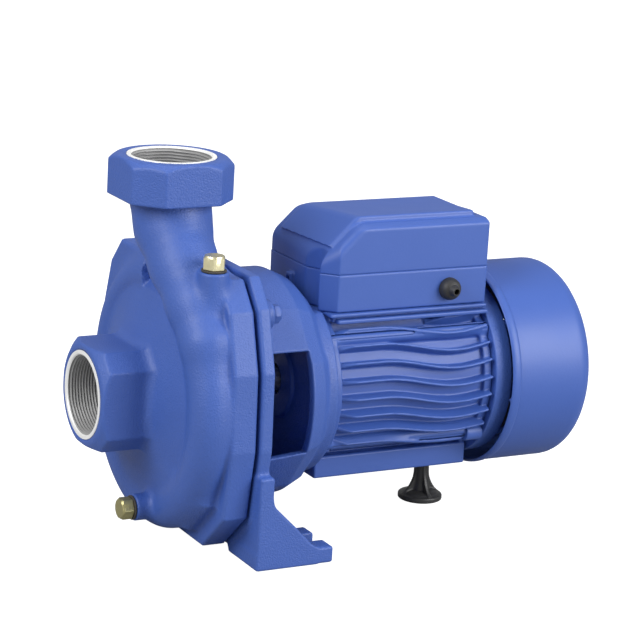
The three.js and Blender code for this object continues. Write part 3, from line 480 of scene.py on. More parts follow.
def casing_field(x, y, z):
    """Outside and inside of the cast casing."""
    r = radial_yz(y, z)
    flange = slab(outline(y, z, flange_points(FLANGE_HALF)), x, CASING_BACK - 20.0, CASING_BACK, 2.5)
    shoulder = slab(outline(y, z, flange_points(FLANGE_HALF - 11.0)), x, RIM_FRONT, CASING_BACK - 5.0, 8.0)
    body = blend(flange, shoulder, 4.0)
    far_side = slab(outline(y, z, flange_points(FLANGE_HALF - 1.0)), x, RIM_FRONT, CASING_BACK - 5.0, 3.0)
    body = blend(body, clip(far_side, np.maximum(-20.0 - y, SHAFT_Z - 10.0 - z), 4.0), 3.0)
    bowl = disc(r, x, FLANGE_HALF - 2.0, RIM_FRONT - 9.0, CASING_BACK - 8.0, 14.0)
    lower = np.maximum((z - SHAFT_Z - 0.71 * y) * 0.8, z - SHAFT_Z - 14.0)
    body = blend(body, clip(bowl, lower, 14.0), 4.0)
    dish = outline(x, r, [(WALL_FRONT, -5.0), (WALL_FRONT, 40.0), (WALL_FRONT + 7, 58.0),
                          (WALL_FRONT + 13.5, 76.0), (RIM_FRONT + 2, 84.0), (RIM_FRONT + 2, -5.0)])
    body = blend(body, dish, 5.0)
    tube = np.minimum(scroll(x, y, z), neck(x, y, z))
    body = blend(body, tube, 4.0 + 8.0 * np.clip((z - SHAFT_Z - 70.0) / 30.0, 0.0, 1.0))
    boss_plan = outline(y, z, cut_square(BOSS_HALF, 12.5, 0.0, SHAFT_Z))
    boss = slab(boss_plan, x, SUCTION_X, WALL_FRONT + 8, 0.8)
    boss = clip(boss, (r - 37.0 - (x - SUCTION_X) * 1.4) * 0.58, 1.2)
    body = blend(body, boss, 6.0)
    across = np.sqrt((x - DISCHARGE_X) ** 2 + y**2)
    collar_plan = outline(x, y, cut_square(COLLAR_HALF, 18.8, DISCHARGE_X))
    collar = slab(collar_plan, z, TOP_Z - COLLAR_HEIGHT, TOP_Z, 0.8)
    collar = clip(collar, (across - 40.3 - (TOP_Z - z) * 1.3) * 0.6, 1.2)
    body = blend(body, collar, 3.0)
    px, py, pz = PRIMING
    from_priming = np.sqrt((x - px) ** 2 + (y - py) ** 2)
    body = blend(body, disc(from_priming, z, 11.0, pz - 40.0, pz, 1.0), 5.0)
    dx, dy, dz = DRAIN
    from_drain = np.sqrt((y - dy) ** 2 + (z - dz) ** 2)
    body = blend(body, disc(from_drain, x, 10.0, dx, RIM_FRONT + 10, 1.0), 6.0)
    body = np.maximum(body, np.minimum(x - CASING_BACK, TRIM_TOP - z))
    bore = disc(r, x, PORT_RING, SUCTION_X - 5.0, SUCTION_X + 36.0)
    bore = np.minimum(bore, disc(r, x, PORT_BORE, SUCTION_X, RIM_FRONT))
    bore = np.minimum(bore, disc(r, x, CHAMBER_RADIUS, RIM_FRONT + 12.0, CASING_BACK + 5.0))
    bore = np.minimum(bore, disc(across, z, PORT_RING, TOP_Z - 32.0, TOP_Z + 5.0))
    passage = np.minimum(scroll(x, y, z, CASTING_WALL), neck(x, y, z, CASTING_WALL))
    bore = np.minimum(bore, passage)
    bore = np.minimum(bore, disc(from_priming, z, PLUG_HOLE, pz - 30.0, pz + 5.0))
    bore = np.minimum(bore, disc(from_drain, x, PLUG_HOLE, dx - 5.0, dx + 25.0))
    return np.maximum(body, -bore)


def threaded_port(name, axis, centre, face, way, depth):
    """Machined ring and threaded bore of a port, as one turned skin with a true helix."""
    across, up, along = TURNING[axis]
    sides, rows_per_turn = 96, 8
    rows = [(0.35, PORT_RING, False), (-0.15, PORT_RING - 0.2, False), (-0.2, PORT_BORE + 0.2, False)]
    ring_rows = len(rows)
    steps = int(depth / THREAD_PITCH * rows_per_turn)
    for step in range(steps + 1):
        rows.append((0.9 + depth * step / steps, THREAD_CREST, True))
    rows += [(depth + 1.4, THREAD_RELIEF, False), (depth + 5.0, THREAD_RELIEF, False)]
    mesh = bpy.data.meshes.new(name)
    build = bmesh.new()
    rings = []
    for inward, radius, threaded in rows:
        ring = []
        for side in range(sides):
            angle = 2 * math.pi * side / sides
            reach = radius
            if threaded:
                phase = (inward / THREAD_PITCH + side / sides) % 1.0
                fade = min(1.0, inward / 2.0)
                reach += THREAD_HEIGHT * abs(2 * phase - 1) * fade + 1.5 * (1 - fade)
            point = Vector(centre) + (across * math.cos(angle) + up * math.sin(angle)) * reach
            point += along * (face - way * inward)
            ring.append(build.verts.new(point * MM))
        rings.append(ring)
    for number, (near, far) in enumerate(zip(rings, rings[1:])):
        for side in range(sides):
            after = (side + 1) % sides
            wall = build.faces.new([near[side], near[after], far[after], far[side]])
            wall.material_index = 1 if number >= ring_rows else 0
    middle = Vector(centre) + along * (face - way * 10)
    bmesh.ops.recalc_face_normals(build, faces=build.faces)
    probe = build.faces[len(build.faces) // 2]
    toward = middle * MM - probe.calc_center_median()
    if probe.normal.dot(toward) < 0:
        bmesh.ops.reverse_faces(build, faces=build.faces)
    # The ring faces take the near white machined colour, which is partly a painted highlight; the threaded
    # bore is grey.
    port = finish_mesh(name, mesh, build, machined, "pump_body", 50)
    mesh.materials.append(thread_grey)
    return port


def build_casing():
    """Casing with its two threaded ports."""
    low = [SUCTION_X, -FLANGE_HALF - 0.5, 4.0]
    high = [DISCHARGE_X + 41.0, FLANGE_HALF + 0.5, TOP_Z]
    piece = cast("casing", casing_field, low, high, 1.25, blue_cast)
    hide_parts("pump_casing")
    for port in (
        threaded_port("suction_thread", "x", (0, 0, SHAFT_Z), SUCTION_X, -1, 30.0),
        threaded_port("discharge_thread", "z", (DISCHARGE_X, 0, 0), TOP_Z, 1, 26.0),
    ):
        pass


# ---- Motor bracket ------------------------------------------------------------------
def angle_spot(radius, angle):
    """Point (y, z) at a radius and an angle from +Y, round the shaft."""
    turn = math.radians(angle)
    return radius * math.cos(turn), SHAFT_Z + radius * math.sin(turn)


def rod_field(x, y, z, spot, radius, start, end, rounding=0.5):
    """Field of a round rod along X through (y, z)."""
    return disc(np.sqrt((y - spot[0]) ** 2 + (z - spot[1]) ** 2), x, radius, start, end, rounding)


def bell_radius(x):
    """Outside radius of the bell between the pump flange and the motor."""
    return np.interp(x, [FLANGE_BACK + 43, FLANGE_BACK + 56, FLANGE_BACK + 64, BRACKET_END],
                     [86.0, 80.0, 71.5, 69.0])


def foot_field(x, y, z):
    """Both feet, drawn once on the mirrored side."""
    side = np.abs(y)
    outer, inner = FOOT_HALF, FOOT_HALF - 47.0
    toe = FLANGE_FRONT + 62.0
    plate = brick(x, side, z, (FLANGE_FRONT, inner, 0.0), (FLANGE_BACK + 1.5, outer, 70.0), 1.5)
    sole = brick(x, side, z, (FLANGE_FRONT, inner, 0.0), (toe, outer, 12.5), 2.0)
    web = outline(x, z, [(FLANGE_FRONT + 2, 0.0), (toe - 14, 0.0), (toe - 14, 12.0),
                         (FLANGE_BACK + 20.5, 30.5), (FLANGE_BACK + 1.5, 49.0), (FLANGE_FRONT + 2, 62.0)])
    outer_web = slab(web, side, outer - 9.0, outer, 1.5)
    inner_web = slab(web, side, inner, inner + 5.0, 1.2)
    whole = blend(plate, sole, 3.0)
    whole = blend(whole, np.minimum(outer_web, inner_web), 4.0)
    middle = outer - 24.5
    near = np.sqrt(np.maximum(0, (toe - 15) - x) ** 2 + (side - middle) ** 2)
    slot = np.where(x < toe - 15, near, np.abs(side - middle)) - 7.5
    return carve(whole, slot, 1.5)


def bracket_field(x, y, z):
    """Flange, windowed bell, motor ring and feet of the cast bracket."""
    r = radial_yz(y, z)
    flange = slab(outline(y, z, flange_points(FLANGE_HALF + 2.0)), x, FLANGE_FRONT, FLANGE_BACK, 1.8)
    wide = bell_radius(x)
    tilt = math.radians(52)
    facet = np.abs(y) * math.sin(tilt) + np.abs(z - SHAFT_Z) * math.cos(tilt)
    shell = np.maximum(r - wide, facet - wide * 0.968)
    length = np.abs(x - (FLANGE_BACK + BRACKET_END) / 2) - (BRACKET_END - FLANGE_BACK) / 2
    body = blend(flange, clip(shell * 0.9, length, 1.2), 5.0)
    bolts = [(y0, SHAFT_Z + z0) for y0, z0 in BOLT_SPOTS]
    for bolt in bolts:
        body = blend(body, rod_field(x, y, z, bolt, 11.0, FLANGE_BACK - 3, FLANGE_BACK + 6, 1.0), 2.5)
    body = blend(body, foot_field(x, y, z), 4.0)
    ring = disc(r, x, 72.5, BRACKET_END - 16, BRACKET_END, 1.5)
    body = blend(body, ring, 2.0)
    hollow = outline(x, r, [(FLANGE_BACK + 1.5, -5.0), (FLANGE_BACK + 1.5, 78.5), (FLANGE_BACK + 42, 78.5),
                            (FLANGE_BACK + 52, 73.5), (BRACKET_END - 15.5, 64.0), (BRACKET_END - 15.5, -5.0)])
    hub = disc(r, x, 24.0, FLANGE_BACK - 3, FLANGE_BACK + 8, 1.5)
    seat = disc(r, x, 30.0, BRACKET_END - 18, BRACKET_END, 1.5)
    body = np.maximum(body, -np.maximum(hollow, -np.minimum(hub, seat)))
    low = SHAFT_Z - 40 + (x - FLANGE_BACK) * 0.12
    window = np.maximum(z - (SHAFT_Z + 41), low - z)
    window = np.maximum(window, np.maximum(FLANGE_BACK + 1 - x, x - FLANGE_BACK - 43))
    window = np.maximum(window, 30.0 - np.abs(y))
    body = carve(body, window, 1.5)
    for angle in ROD_ANGLES:
        spot = angle_spot(ROD_RADIUS, angle)
        body = np.maximum(body, -rod_field(x, y, z, spot, 2.8, BRACKET_END - 14, BRACKET_END + 1, 0))
    for bolt in bolts:
        body = np.maximum(body, -rod_field(x, y, z, bolt, 4.5, FLANGE_FRONT - 5, FLANGE_BACK + 9, 0))
    spigot = disc(r, x, SPIGOT_RADIUS, FLANGE_FRONT - 4, FLANGE_FRONT + 4, 0.5)
    body = np.minimum(body, spigot)
    bore = disc(r, x, 17.0, FLANGE_FRONT - 20, FLANGE_BACK + 4)
    bore = np.minimum(bore, disc(r, x, 12.0, FLANGE_BACK, FLANGE_BACK + 12))
    bore = np.minimum(bore, disc(r, x, 23.8, BRACKET_END - 13, BRACKET_END + 4))
    bore = np.minimum(bore, disc(r, x, 12.5, BRACKET_END - 20, BRACKET_END))
    body = np.maximum(body, -bore)
    flat = np.maximum(PAD_TOP - z, BRACKET_END - 8 - x)
    body = np.maximum(body, np.maximum(-z, np.abs(y) - FOOT_HALF))
    return np.maximum(body, -flat)


def build_bracket():
    """Bracket between the casing and the motor."""
    low = [FLANGE_FRONT - 4, -FOOT_HALF, 0.0]
    high = [BRACKET_END, FOOT_HALF, SHAFT_Z + FLANGE_HALF + 2.0]
    piece = cast("bracket", bracket_field, low, high, 1.15, blue_cast)
    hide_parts("motor_bracket")


# ---- Motor housing ------------------------------------------------------------------
FIN_PITCH = math.radians(11.4)
FIN_TIP = 69.0
BARREL_RADIUS = 60.0
BARREL_BORE = 55.0
RAIL_LOW = float(housing_low[2])


def fins_field(x, y, z, r):
    """Wavy cooling fins on both sides of the barrel."""
    along = np.clip(((x - BRACKET_END) / (HOUSING_END - BRACKET_END) - 0.31) / 0.92, 0.0, 1.0)
    shift = FIN_PITCH * (0.33 * (np.cos(2 * math.pi * along) - 1) - 0.12)
    turn = (np.arctan2(z - SHAFT_Z, np.abs(y)) - shift) / FIN_PITCH
    row = np.clip(np.round(turn), -3, 5)
    start = np.where(row == 5, 88.0, 4.0) + BRACKET_END
    stop = HOUSING_END - np.where(row == -3, 16.0, 2.0)
    half = 2.0 - 0.13 * (r - BARREL_RADIUS)
    side = np.abs(turn - row) * FIN_PITCH * r - half
    tip = FIN_TIP - 7.0 * np.clip((start + 14.0 - x) / 14.0, 0.0, 1.0)
    field = np.maximum(side, np.maximum(r - tip, BARREL_BORE - r))
    return np.maximum(field, np.maximum(start - x, x - stop))


def housing_field(x, y, z):
    """Finned barrel with the pad of the terminal box, the base rail and the sleeves of the tie rods."""
    r = radial_yz(y, z)
    front = BRACKET_END + SEAT_GAP
    barrel = disc(r, x, BARREL_RADIUS, front, HOUSING_END, 0.5)
    collar = disc(r, x, 67.0, front, BRACKET_END + 6, 1.0)
    body = blend(barrel, collar, 2.0)
    tail = disc(r, x, 63.5, HOUSING_END - 7, HOUSING_END, 1.0)
    body = blend(body, tail, 1.5)
    body = blend(body, fins_field(x, y, z, r), 1.2)
    neck_block = brick(x, y, z, (BRACKET_END + 4, -38, PAD_TOP - 32), (HOUSING_END - 3, 38, PAD_TOP - 1), 2.0)
    body = blend(body, neck_block, 4.0)
    lip = brick(x, y, z, (BRACKET_END + 2, -49, PAD_TOP - 2.6), (HOUSING_END - 1, 49, PAD_TOP), 0.7)
    low, high = (BRACKET_END + 8, -50.5, PAD_TOP - 7.5), (HOUSING_END, 50.5, PAD_TOP - 4.4)
    lower_lip = brick(x, y, z, low, high, 0.9)
    web = brick(x, y, z, (BRACKET_END + 6, -45, PAD_TOP - 7), (HOUSING_END - 2, 45, PAD_TOP - 1), 0.5)
    body = blend(body, np.minimum(np.minimum(lip, lower_lip), web), 1.2)
    rail = brick(x, y, z, (BRACKET_END + 3, -35, RAIL_LOW), (HOUSING_END - 2, 35, RAIL_LOW + 17), 1.5)
    recess = brick(x, y, z, (BRACKET_END + 10, -28, RAIL_LOW - 8), (HOUSING_END - 35, 28, RAIL_LOW + 10), 1.0)
    body = blend(body, carve(rail, recess, 1.0), 2.0)
    for angle in ROD_ANGLES:
        spot = angle_spot(ROD_RADIUS, angle)
        sleeve = rod_field(x, y, z, angle_spot(ROD_RADIUS - 2.3, angle), 5.2, front, HOUSING_END, 0.5)
        body = blend(body, sleeve, 3.0)
        if angle > 180:
            body = blend(body, rod_field(x, y, z, spot, 6.5, HOUSING_END - 14, HOUSING_END, 0.5), 1.0)
        body = np.maximum(body, -rod_field(x, y, z, spot, 3.2, BRACKET_END - 5, HOUSING_END + 5, 0))
    hollow = disc(r, x, BARREL_BORE, BRACKET_END - 5, HOUSING_END + 5)
    body = np.maximum(body, -hollow)
    leads = disc(np.sqrt((x - BRACKET_END - 16) ** 2 + y**2), z, 9.0, SHAFT_Z + 40, PAD_TOP + 5)
    stud_x = (stand_low[0] + stand_high[0]) / 2
    stud = disc(np.sqrt((x - stud_x) ** 2 + y**2), z, 4.4, RAIL_LOW - 5, RAIL_LOW + 12)
    body = np.maximum(body, -np.minimum(leads, stud))
    return np.maximum(body, z - PAD_TOP)


def build_housing():
    """Motor housing."""
    low = [BRACKET_END, -MOTOR_HALF, RAIL_LOW]
    high = [HOUSING_END, MOTOR_HALF, PAD_TOP]
    piece = cast("housing", housing_field, low, high, 0.85, blue_smooth)
    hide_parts("motor_housing")


# ---- Terminal box -------------------------------------------------------------------
SEAM = float(lid_low[2]) - SEAT_GAP
BOX_FRONT, BOX_REAR = float(lid_low[0]), float(lid_high[0])
BOX_HALF = 46.0


def box_plan(x, y, inset):
    """Plan of the box, with its near corner cut off at the pump end."""
    side = np.abs(y)
    corner = (BOX_FRONT - x - y - (BOX_HALF - 11.0) + inset * 1.3) * 0.7071
    straight = clip(side - BOX_HALF + inset, x - BOX_REAR + inset, 2.5)
    return np.maximum(clip(straight, BOX_FRONT + inset - x, 1.5), corner)


def scoop(x, y):
    """Hollow in the pump end of the box, deepest beside its cut corner."""
    return np.maximum(np.sqrt((x - BOX_FRONT + 20.0) ** 2 + (y + 30.0) ** 2) - 26.5, -34.0 - y)


def box_base_field(x, y, z):
    """Base of the box, with the entries of the gland and of the leads."""
    shell = np.maximum(box_plan(x, y, (SEAM - z) * 0.01), np.maximum(z - SEAM, box_low[2] - z))
    shell = carve(shell, scoop(x, y), 1.2)
    boss = brick(x, y, z, (BOX_FRONT - 3.6, 4, PAD_TOP + 10), (BOX_FRONT + 2, 13, PAD_TOP + 20), 1.0)
    shell = blend(shell, boss, 1.5)
    hole = disc(np.sqrt((y - 8.5) ** 2 + (z - PAD_TOP - 15) ** 2), x, 2.2, BOX_FRONT - 8, BOX_FRONT - 0.5)
    room = np.maximum(box_plan(x, y, 2.8), PAD_TOP + 3 - z)
    room = np.maximum(room, -(scoop(x, y) - 2.5))
    gx, gz = (gland_low[0] + gland_high[0]) / 2, (gland_low[2] + gland_high[2]) / 2
    gland = disc(np.sqrt((x - gx) ** 2 + (z - gz) ** 2), y, 6.4, -BOX_HALF - 5, -BOX_HALF + 6)
    leads = disc(np.sqrt((x - BRACKET_END - 16) ** 2 + y**2), z, 9.0, PAD_TOP - 5, PAD_TOP + 5)
    return np.maximum(shell, -np.minimum(np.minimum(hole, room), np.minimum(gland, leads)))


def lid_shape(x, y, z, wall=0.0):
    """Solid of the lid, grown inwards by a wall thickness."""
    side = np.abs(y)
    slope = (z - SEAM - 13.2 - 0.95 * (x - BOX_FRONT) - 0.08 * y) * 0.72
    shelf_top = SEAM + 34.0 + 0.4 * np.clip(BOX_HALF - side, 0.0, 7.0)
    shelf = clip(box_plan(x, y, 0.3 + wall), z - shelf_top + wall, 2.0)
    shelf = clip(shelf, slope + wall, 6.0)
    plateau = clip(side - BOX_HALF + 11.0 + wall, x - BOX_REAR + 9.0 + wall, 3.0)
    plateau = clip(plateau, z - float(lid_high[2]) + 3.5 + 0.06 * y + wall, 2.0)
    plateau = clip(plateau, slope - 2.2 + wall, 3.0)
    plateau = np.maximum(plateau, SEAM + 20 - z)
    return blend(shelf, plateau, 3.0)


def lid_field(x, y, z):
    """Hollow lid, open at the seam."""
    hollow = scoop(x, y) + np.maximum(0.0, z - SEAM - 16.0) * 0.8
    outside = carve(lid_shape(x, y, z), hollow, 1.2)
    outside = np.maximum(outside, SEAM + 0.05 - z)
    inside = np.maximum(lid_shape(x, y, z, 2.4), -(scoop(x, y) - 2.4))
    return np.maximum(outside, -inside)


def build_box():
    """Base and lid of the terminal box."""
    base = cast("box_base", box_base_field, box_low, [*box_high[:2], SEAM], 0.9, blue_smooth)
    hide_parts("terminal_box_base")
    lid = cast("box_lid", lid_field, lid_low, lid_high, 0.9, blue_smooth)
    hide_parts("terminal_box_cover")


# ---- Rear endshield and fan cover ---------------------------------------------------
def build_endshield():
    """Cast end plate that carries the rear bearing."""
    end_low, end_high = span("rear_endshield")
    spigot, face, hub = float(end_low[0]), HOUSING_END + SEAT_GAP, float(end_high[0])
    profile = [(spigot, 49.0), (spigot, 54.6), (face, 54.6), (face, 69.5), (face + 14, 69.5),
               (face + 16, 62.0), (face + 16.5, 30.0), (hub, 25.0), (hub, 9.5), (hub - 3, 9.5),
               (hub - 3, 20.3), (face - 1, 20.3), (face - 1, 26.0), (face + 3, 49.0)]
    plate = lathe("endshield", rounded(profile, 1.0), "x", (0, 0, SHAFT_Z), blue_cast, "pump_body", 96)
    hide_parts("rear_endshield")


def build_fan_cover():
    """Pressed cover: a rolled bead at the open end, a round shoulder and a slotted back."""
    front, back = float(cover_low[0]), float(cover_high[0]) - 2.5
    radius, wall, shoulder = COVER_RADIUS - 1.0, 1.6, 14.0
    profile = [(front + 0.4, radius - 1.2), (front + 0.1, radius - 0.2)]
    for step in range(7):
        turn = math.pi * step / 6
        profile.append((front + 4.0 - 3.6 * math.cos(turn), radius + 1.0 * math.sin(turn)))
    profile += [(front + 9.5, radius), (front + 30, radius), (back - shoulder - 2, radius)]
    for step in range(9):
        turn = math.pi / 2 * step / 8
        along = back - shoulder + shoulder * math.sin(turn)
        profile.append((along, radius - shoulder + shoulder * math.cos(turn)))
    profile += [(back, r) for r in (62.0, 40.0, 34.0, 14.0)]
    sides = 144
    mesh = bpy.data.meshes.new("cover")
    build = bmesh.new()
    rings = []
    for x, r in profile:
        ring = []
        for side in range(sides):
            angle = 2 * math.pi * side / sides
            y, z = r * math.cos(angle), r * math.sin(angle)
            ring.append(build.verts.new((x * MM, y * MM, (SHAFT_Z + z) * MM)))
        rings.append(ring)
    last = len(profile) - 1
    for number, (near, far) in enumerate(zip(rings, rings[1:])):
        outer_row, inner_row = number == last - 3, number == last - 1
        for side in range(sides):
            place = side % 9
            if outer_row and place in (3, 4, 5):
                continue
            if inner_row and side % 18 in (2, 3, 4, 5, 6):
                continue
            after = (side + 1) % sides
            build.faces.new([near[side], near[after], far[after], far[side]])
    build.faces.new(rings[-1])
    bmesh.ops.recalc_face_normals(build, faces=build.faces)
    outward = max(build.faces, key=lambda face: face.calc_center_median().x)
    if outward.normal.x < 0:
        bmesh.ops.reverse_faces(build, faces=build.faces)
    bmesh.ops.solidify(build, geom=build.faces[:], thickness=wall * MM)
    cover = finish_mesh("cover", mesh, build, blue_smooth, "pump_body", 40)
    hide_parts("fan_cover")


# ---- Plugs, bolts, gland and stand ----------------------------------------------------
def hex_head(name, axis, centre, flats, start, end, material, body, way=1):
    """Hexagon head with a turned chamfer on the free end and a small bevel all round."""
    sides = 48
    across, up, along = TURNING[axis]
    middle = Vector(centre)
    u0, v0 = middle.dot(across), middle.dot(up)
    corner = flats / math.sqrt(3)
    mesh = bpy.data.meshes.new(name)
    build = bmesh.new()
    rings = []
    drop = corner * 0.12
    for distance, shrink in ((start, 0.97), (start + way * 0.4, 1.0), (end - way * drop, 1.0), (end, 0.0)):
        ring = []
        for side in range(sides):
            angle = 2 * math.pi * side / sides
            sector = (angle % (math.pi / 3)) - math.pi / 6
            hexagon = flats / 2 / math.cos(sector)
            reach = min(hexagon, corner * 0.985) * shrink
            fall = 0.0
            if shrink == 0.0:
                reach = flats / 2 * 0.94
            elif distance == end - way * drop:
                fall = -way * (hexagon - flats / 2) * 0.55
            point = across * (u0 + reach * math.cos(angle)) + up * (v0 + reach * math.sin(angle))
            ring.append(build.verts.new((point + along * (distance + fall)) * MM))
        rings.append(ring)
    build.faces.new(rings[0])
    build.faces.new(rings[-1])
    for near, far in zip(rings, rings[1:]):
        for side in range(sides):
            after = (side + 1) % sides
            build.faces.new([near[side], near[after], far[after], far[side]])
    bmesh.ops.recalc_face_normals(build, faces=build.faces)
    return finish_mesh(name, mesh, build, material, body, 25)


def shank_profile(seat, way):
    """Shank of a plug, from its end inside the casing to its head. The way is +1 or -1, into the casing."""
    end, groove, head = seat + way * PLUG_REACH, seat - way, seat - way * 2.2
    corners = [(end, 0), (end, PLUG_SHANK, 1), (groove, PLUG_SHANK), (groove, 5.8), (head, 5.8), (head, 0)]
    return rounded(corners, 0.2)


def ring_profile(start, end, inner, outer, rounding):
    """Flat ring between two places on its axis."""
    return rounded([(start, inner), (start, outer), (end, outer), (end, inner)], rounding)


def build_plugs():
    """Priming and drain plugs with their washers."""
    px, py, pz = PRIMING
    centre = (px, py, 0)
    head = hex_head("priming_head", "z", centre, PLUG_FLATS, pz + 2, pz + 12, pale_brass, "priming_screw")
    thread = lathe("priming_thread", shank_profile(pz, -1), "z", centre, brass, "priming_screw", 48)
    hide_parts("priming_plug")
    profile = ring_profile(pz + 0.3, pz + 1.7, PLUG_HOLE, 9.2, 0.5)
    washer = lathe("priming_ring", profile, "z", centre, fibre, "priming_seal", 64)
    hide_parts("priming_washer")
    dx, dy, dz = DRAIN
    centre = (0, dy, dz)
    drain_head = hex_head("drain_head", "x", centre, PLUG_FLATS, dx - 2, dx - 11, dull_brass,
                          "drain_screw", -1)
    drain_thread = lathe("drain_thread", shank_profile(dx, 1), "x", centre, brass, "drain_screw", 48)
    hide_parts("drain_plug")
    profile = ring_profile(dx - 0.3, dx - 1.7, PLUG_HOLE, 9.2, 0.5)
    ring = lathe("drain_ring", profile, "x", centre, fibre, "drain_seal", 64)
    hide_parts("drain_washer")


def build_bolts():
    """Bolts that hold the bracket to the casing, with their washers."""
    seat, end = FLANGE_BACK + 6, CASING_BACK - 18
    shank_corners = rounded([(end, 0), (end, 4, 0.8), (seat + 3, 4), (seat + 3, 0)], 0.2)
    washer_corners = ring_profile(seat + 0.3, seat + 1.9, 4.3, 7.4, 0.4)
    for number, (y, z) in enumerate(BOLT_SPOTS, 1):
        centre = (0, y, SHAFT_Z + z)
        head = hex_head(f"bolt_head_{number}", "x", centre, 13.0, seat + 2.2, seat + 7.5, blue_smooth,
                        "pump_body")
        shank = lathe(f"bolt_shank_{number}", shank_corners, "x", centre, zinc, "pump_body", 32)
        washer = lathe(f"bolt_washer_{number}", washer_corners, "x", centre, blue_smooth, "pump_body", 48)
        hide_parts(f"casing_bolt_{number}")
        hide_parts(f"casing_washer_{number}")


def build_gland():
    """Rubber gland in the near wall of the terminal box."""
    gx, gz = (gland_low[0] + gland_high[0]) / 2, (gland_low[2] + gland_high[2]) / 2
    face = -BOX_HALF
    profile = [(face + 5, 3.0), (face + 5, 8.0), (face + 3, 8.0), (face + 2.9, 6.0), (face - 0.3, 6.0),
               (face - 0.3, 8.6), (face - 2.2, 8.5)]
    for step in range(1, 8):
        turn = math.pi / 2 * step / 8
        profile.append((face - 2.2 - 6.3 * math.sin(turn), 3.6 + 4.9 * math.cos(turn)))
    profile += [(face - 11.8, 3.5), (face - 12.5, 3.0), (face - 12.5, 2.2), (face - 6, 2.2), (face - 2, 3.0)]
    piece = lathe("gland", profile, "y", (gx, 0, gz), black_rubber, "pump_body", 64, 40)
    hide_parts("cable_gland")


def stand_field(x, y, z):
    """Disc, stem with four webs, and stud of the support foot."""
    sx = (stand_low[0] + stand_high[0]) / 2
    top = RAIL_LOW - SEAT_GAP
    away = np.sqrt((x - sx) ** 2 + y**2)
    base = disc(away, z, 17.5, 0.0, 4.2, 1.2)
    dome = outline(away, z, [(-5, 0.5), (15.5, 3.5), (13.5, 5.6), (7.0, 7.5), (5.6, 14.0), (5.6, top - 7),
                             (6.4, top - 6), (6.6, top), (-5, top)])
    body = blend(base, dome, 1.5)
    height = np.clip((z - 5.0) / (top - 12.0), 0.0, 1.0)
    reach = 5.8 + 9.5 * (1 - height) ** 3.0
    along = np.maximum(np.abs(y) - 1.3, np.abs(x - sx) - reach)
    cross = np.maximum(np.abs(x - sx) - 1.3, np.abs(y) - reach)
    webs = np.maximum(np.minimum(along, cross) * 0.8, np.maximum(3.0 - z, z - top + 7))
    body = blend(body, webs, 1.5)
    stud = disc(away, z, 4.0, top - 3, top + 9)
    return np.minimum(body, stud)


def build_stand():
    """Support foot under the motor."""
    piece = cast("stand", stand_field, stand_low, stand_high, 0.5, black_plastic)
    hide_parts("support_foot")


# ---- Pieces that keep the shape of the frame ------------------------------------------
NODE_FINISH = {
    "impeller": "bare_iron", "impeller_key": "steel", "impeller_washer": "steel", "impeller_nut": "brass",
    "seal_": "steel", "casing_gasket": "fibre", "slinger": "black_rubber", "shaft": "steel",
    "rotor_core": "aluminium", "front_bearing": "steel", "rear_bearing": "steel", "wave_washer": "steel",
    "stator_core": "bare_iron", "winding": "copper", "tie_rod": "blue_smooth",
    "cooling_fan": "black_plastic", "fan_clip": "steel", "terminal_block": "black_plastic",
    "terminal_screw": "brass", "capacitor": "aluminium", "seal_seat": "ceramic", "seal_ring": "carbon",
    "seal_boot": "black_rubber",
}


def finish_nodes():
    """Gives each piece that is shown as it is in the frame its finish."""
    for name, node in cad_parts.items():
        best = max((key for key in NODE_FINISH if name.startswith(key)), key=len, default=None)
        if best is None:
            continue
        material = bpy.data.materials[NODE_FINISH[best]]
        if not node.material_slots:
            node.data.materials.append(material)
        for slot in node.material_slots:
            slot.material = material


build_casing()
build_bracket()
build_housing()
build_box()
build_endshield()
build_fan_cover()
build_plugs()
build_bolts()
build_gland()
build_stand()
finish_nodes()

# ---- Floor, light and camera ---------------------------------------------------------
def build_stage():
    """White ground that glows to the eye alone, so that it does not light the pump from below."""
    bpy.ops.mesh.primitive_plane_add(size=30.0, location=(0, 0, -0.0006))
    floor = bpy.context.object
    floor.name = "floor"
    material = bpy.data.materials.new("floor")
    material.use_nodes = True
    nodes, links = material.node_tree.nodes, material.node_tree.links
    surface = nodes["Principled BSDF"]
    surface.inputs["Base Color"].default_value = (0.35, 0.35, 0.35, 1)
    surface.inputs["Roughness"].default_value = 0.9
    surface.inputs["Emission Color"].default_value = (1, 1, 1, 1)
    seen = nodes.new("ShaderNodeLightPath")
    links.new(seen.outputs["Is Camera Ray"], surface.inputs["Emission Strength"])
    floor.data.materials.append(material)


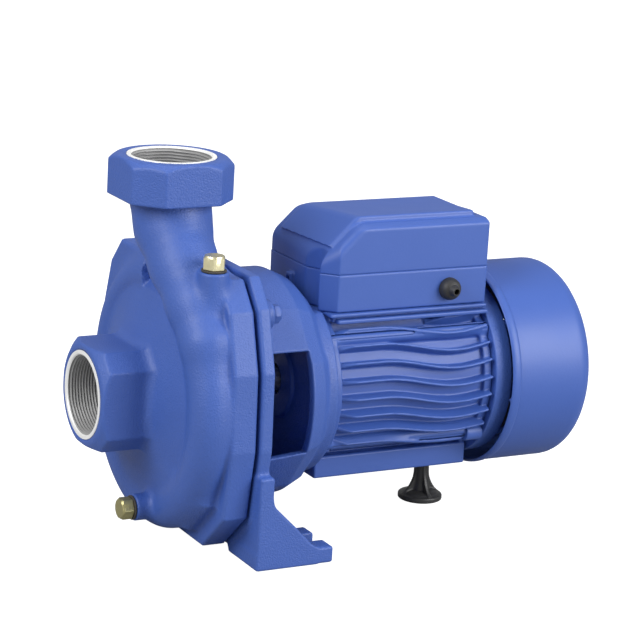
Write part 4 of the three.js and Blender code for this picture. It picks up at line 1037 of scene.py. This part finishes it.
def add_area(name, place, target, size, power):
    """Square lamp at a place, facing a target."""
    light = bpy.data.lights.new(name, "AREA")
    light.shape = "RECTANGLE"
    light.size = size
    light.size_y = size
    light.energy = power
    lamp = bpy.data.objects.new(name, light)
    lamp.location = place
    lamp.rotation_mode = "QUATERNION"
    lamp.rotation_quaternion = (Vector(target) - Vector(place)).to_track_quat("-Z", "Y")
    bpy.context.scene.collection.objects.link(lamp)


def build_light():
    """Soft white surroundings and three lamps: key, fill and top."""
    world = bpy.data.worlds.new("studio")
    bpy.context.scene.world = world
    world.use_nodes = True
    back = world.node_tree.nodes["Background"]
    back.inputs["Color"].default_value = (1, 1, 1, 1)
    back.inputs["Strength"].default_value = 0.38
    add_area("key", (1.3, -1.9, 1.1), (0, 0, 0.12), 1.5, 56.0)
    add_area("fill", (-1.9, -0.5, 1.5), (0, 0, 0.12), 1.3, 42.0)
    add_area("top", (0.1, 0.2, 2.2), (0, 0, 0.15), 1.4, 12.0)


def build_camera():
    """Camera on the near side, a little above the pump and turned about its view."""
    azimuth, elevation, roll = math.radians(-28.67), math.radians(14.48), math.radians(3.35)
    distance, lens = 1.944, 143.55
    target = Vector((-0.0058, 0.0, 0.1527))
    back = Vector((math.sin(azimuth) * math.cos(elevation), -math.cos(azimuth) * math.cos(elevation),
                   math.sin(elevation)))
    right = Vector((math.cos(azimuth), math.sin(azimuth), 0.0))
    up = back.cross(right)
    turned_right = right * math.cos(roll) + up * math.sin(roll)
    turned_up = up * math.cos(roll) - right * math.sin(roll)
    data = bpy.data.cameras.new("photo_view")
    data.lens = lens
    data.sensor_width = 36.0
    camera = bpy.data.objects.new("photo_view", data)
    rotation = Matrix((turned_right, turned_up, back)).transposed()
    camera.matrix_world = Matrix.Translation(target + back * distance) @ rotation.to_4x4()
    bpy.context.scene.collection.objects.link(camera)
    bpy.context.scene.camera = camera


build_stage()
build_light()
build_camera()
bpy.context.scene.view_settings.view_transform = "Standard"
bpy.context.scene.view_settings.look = "None"
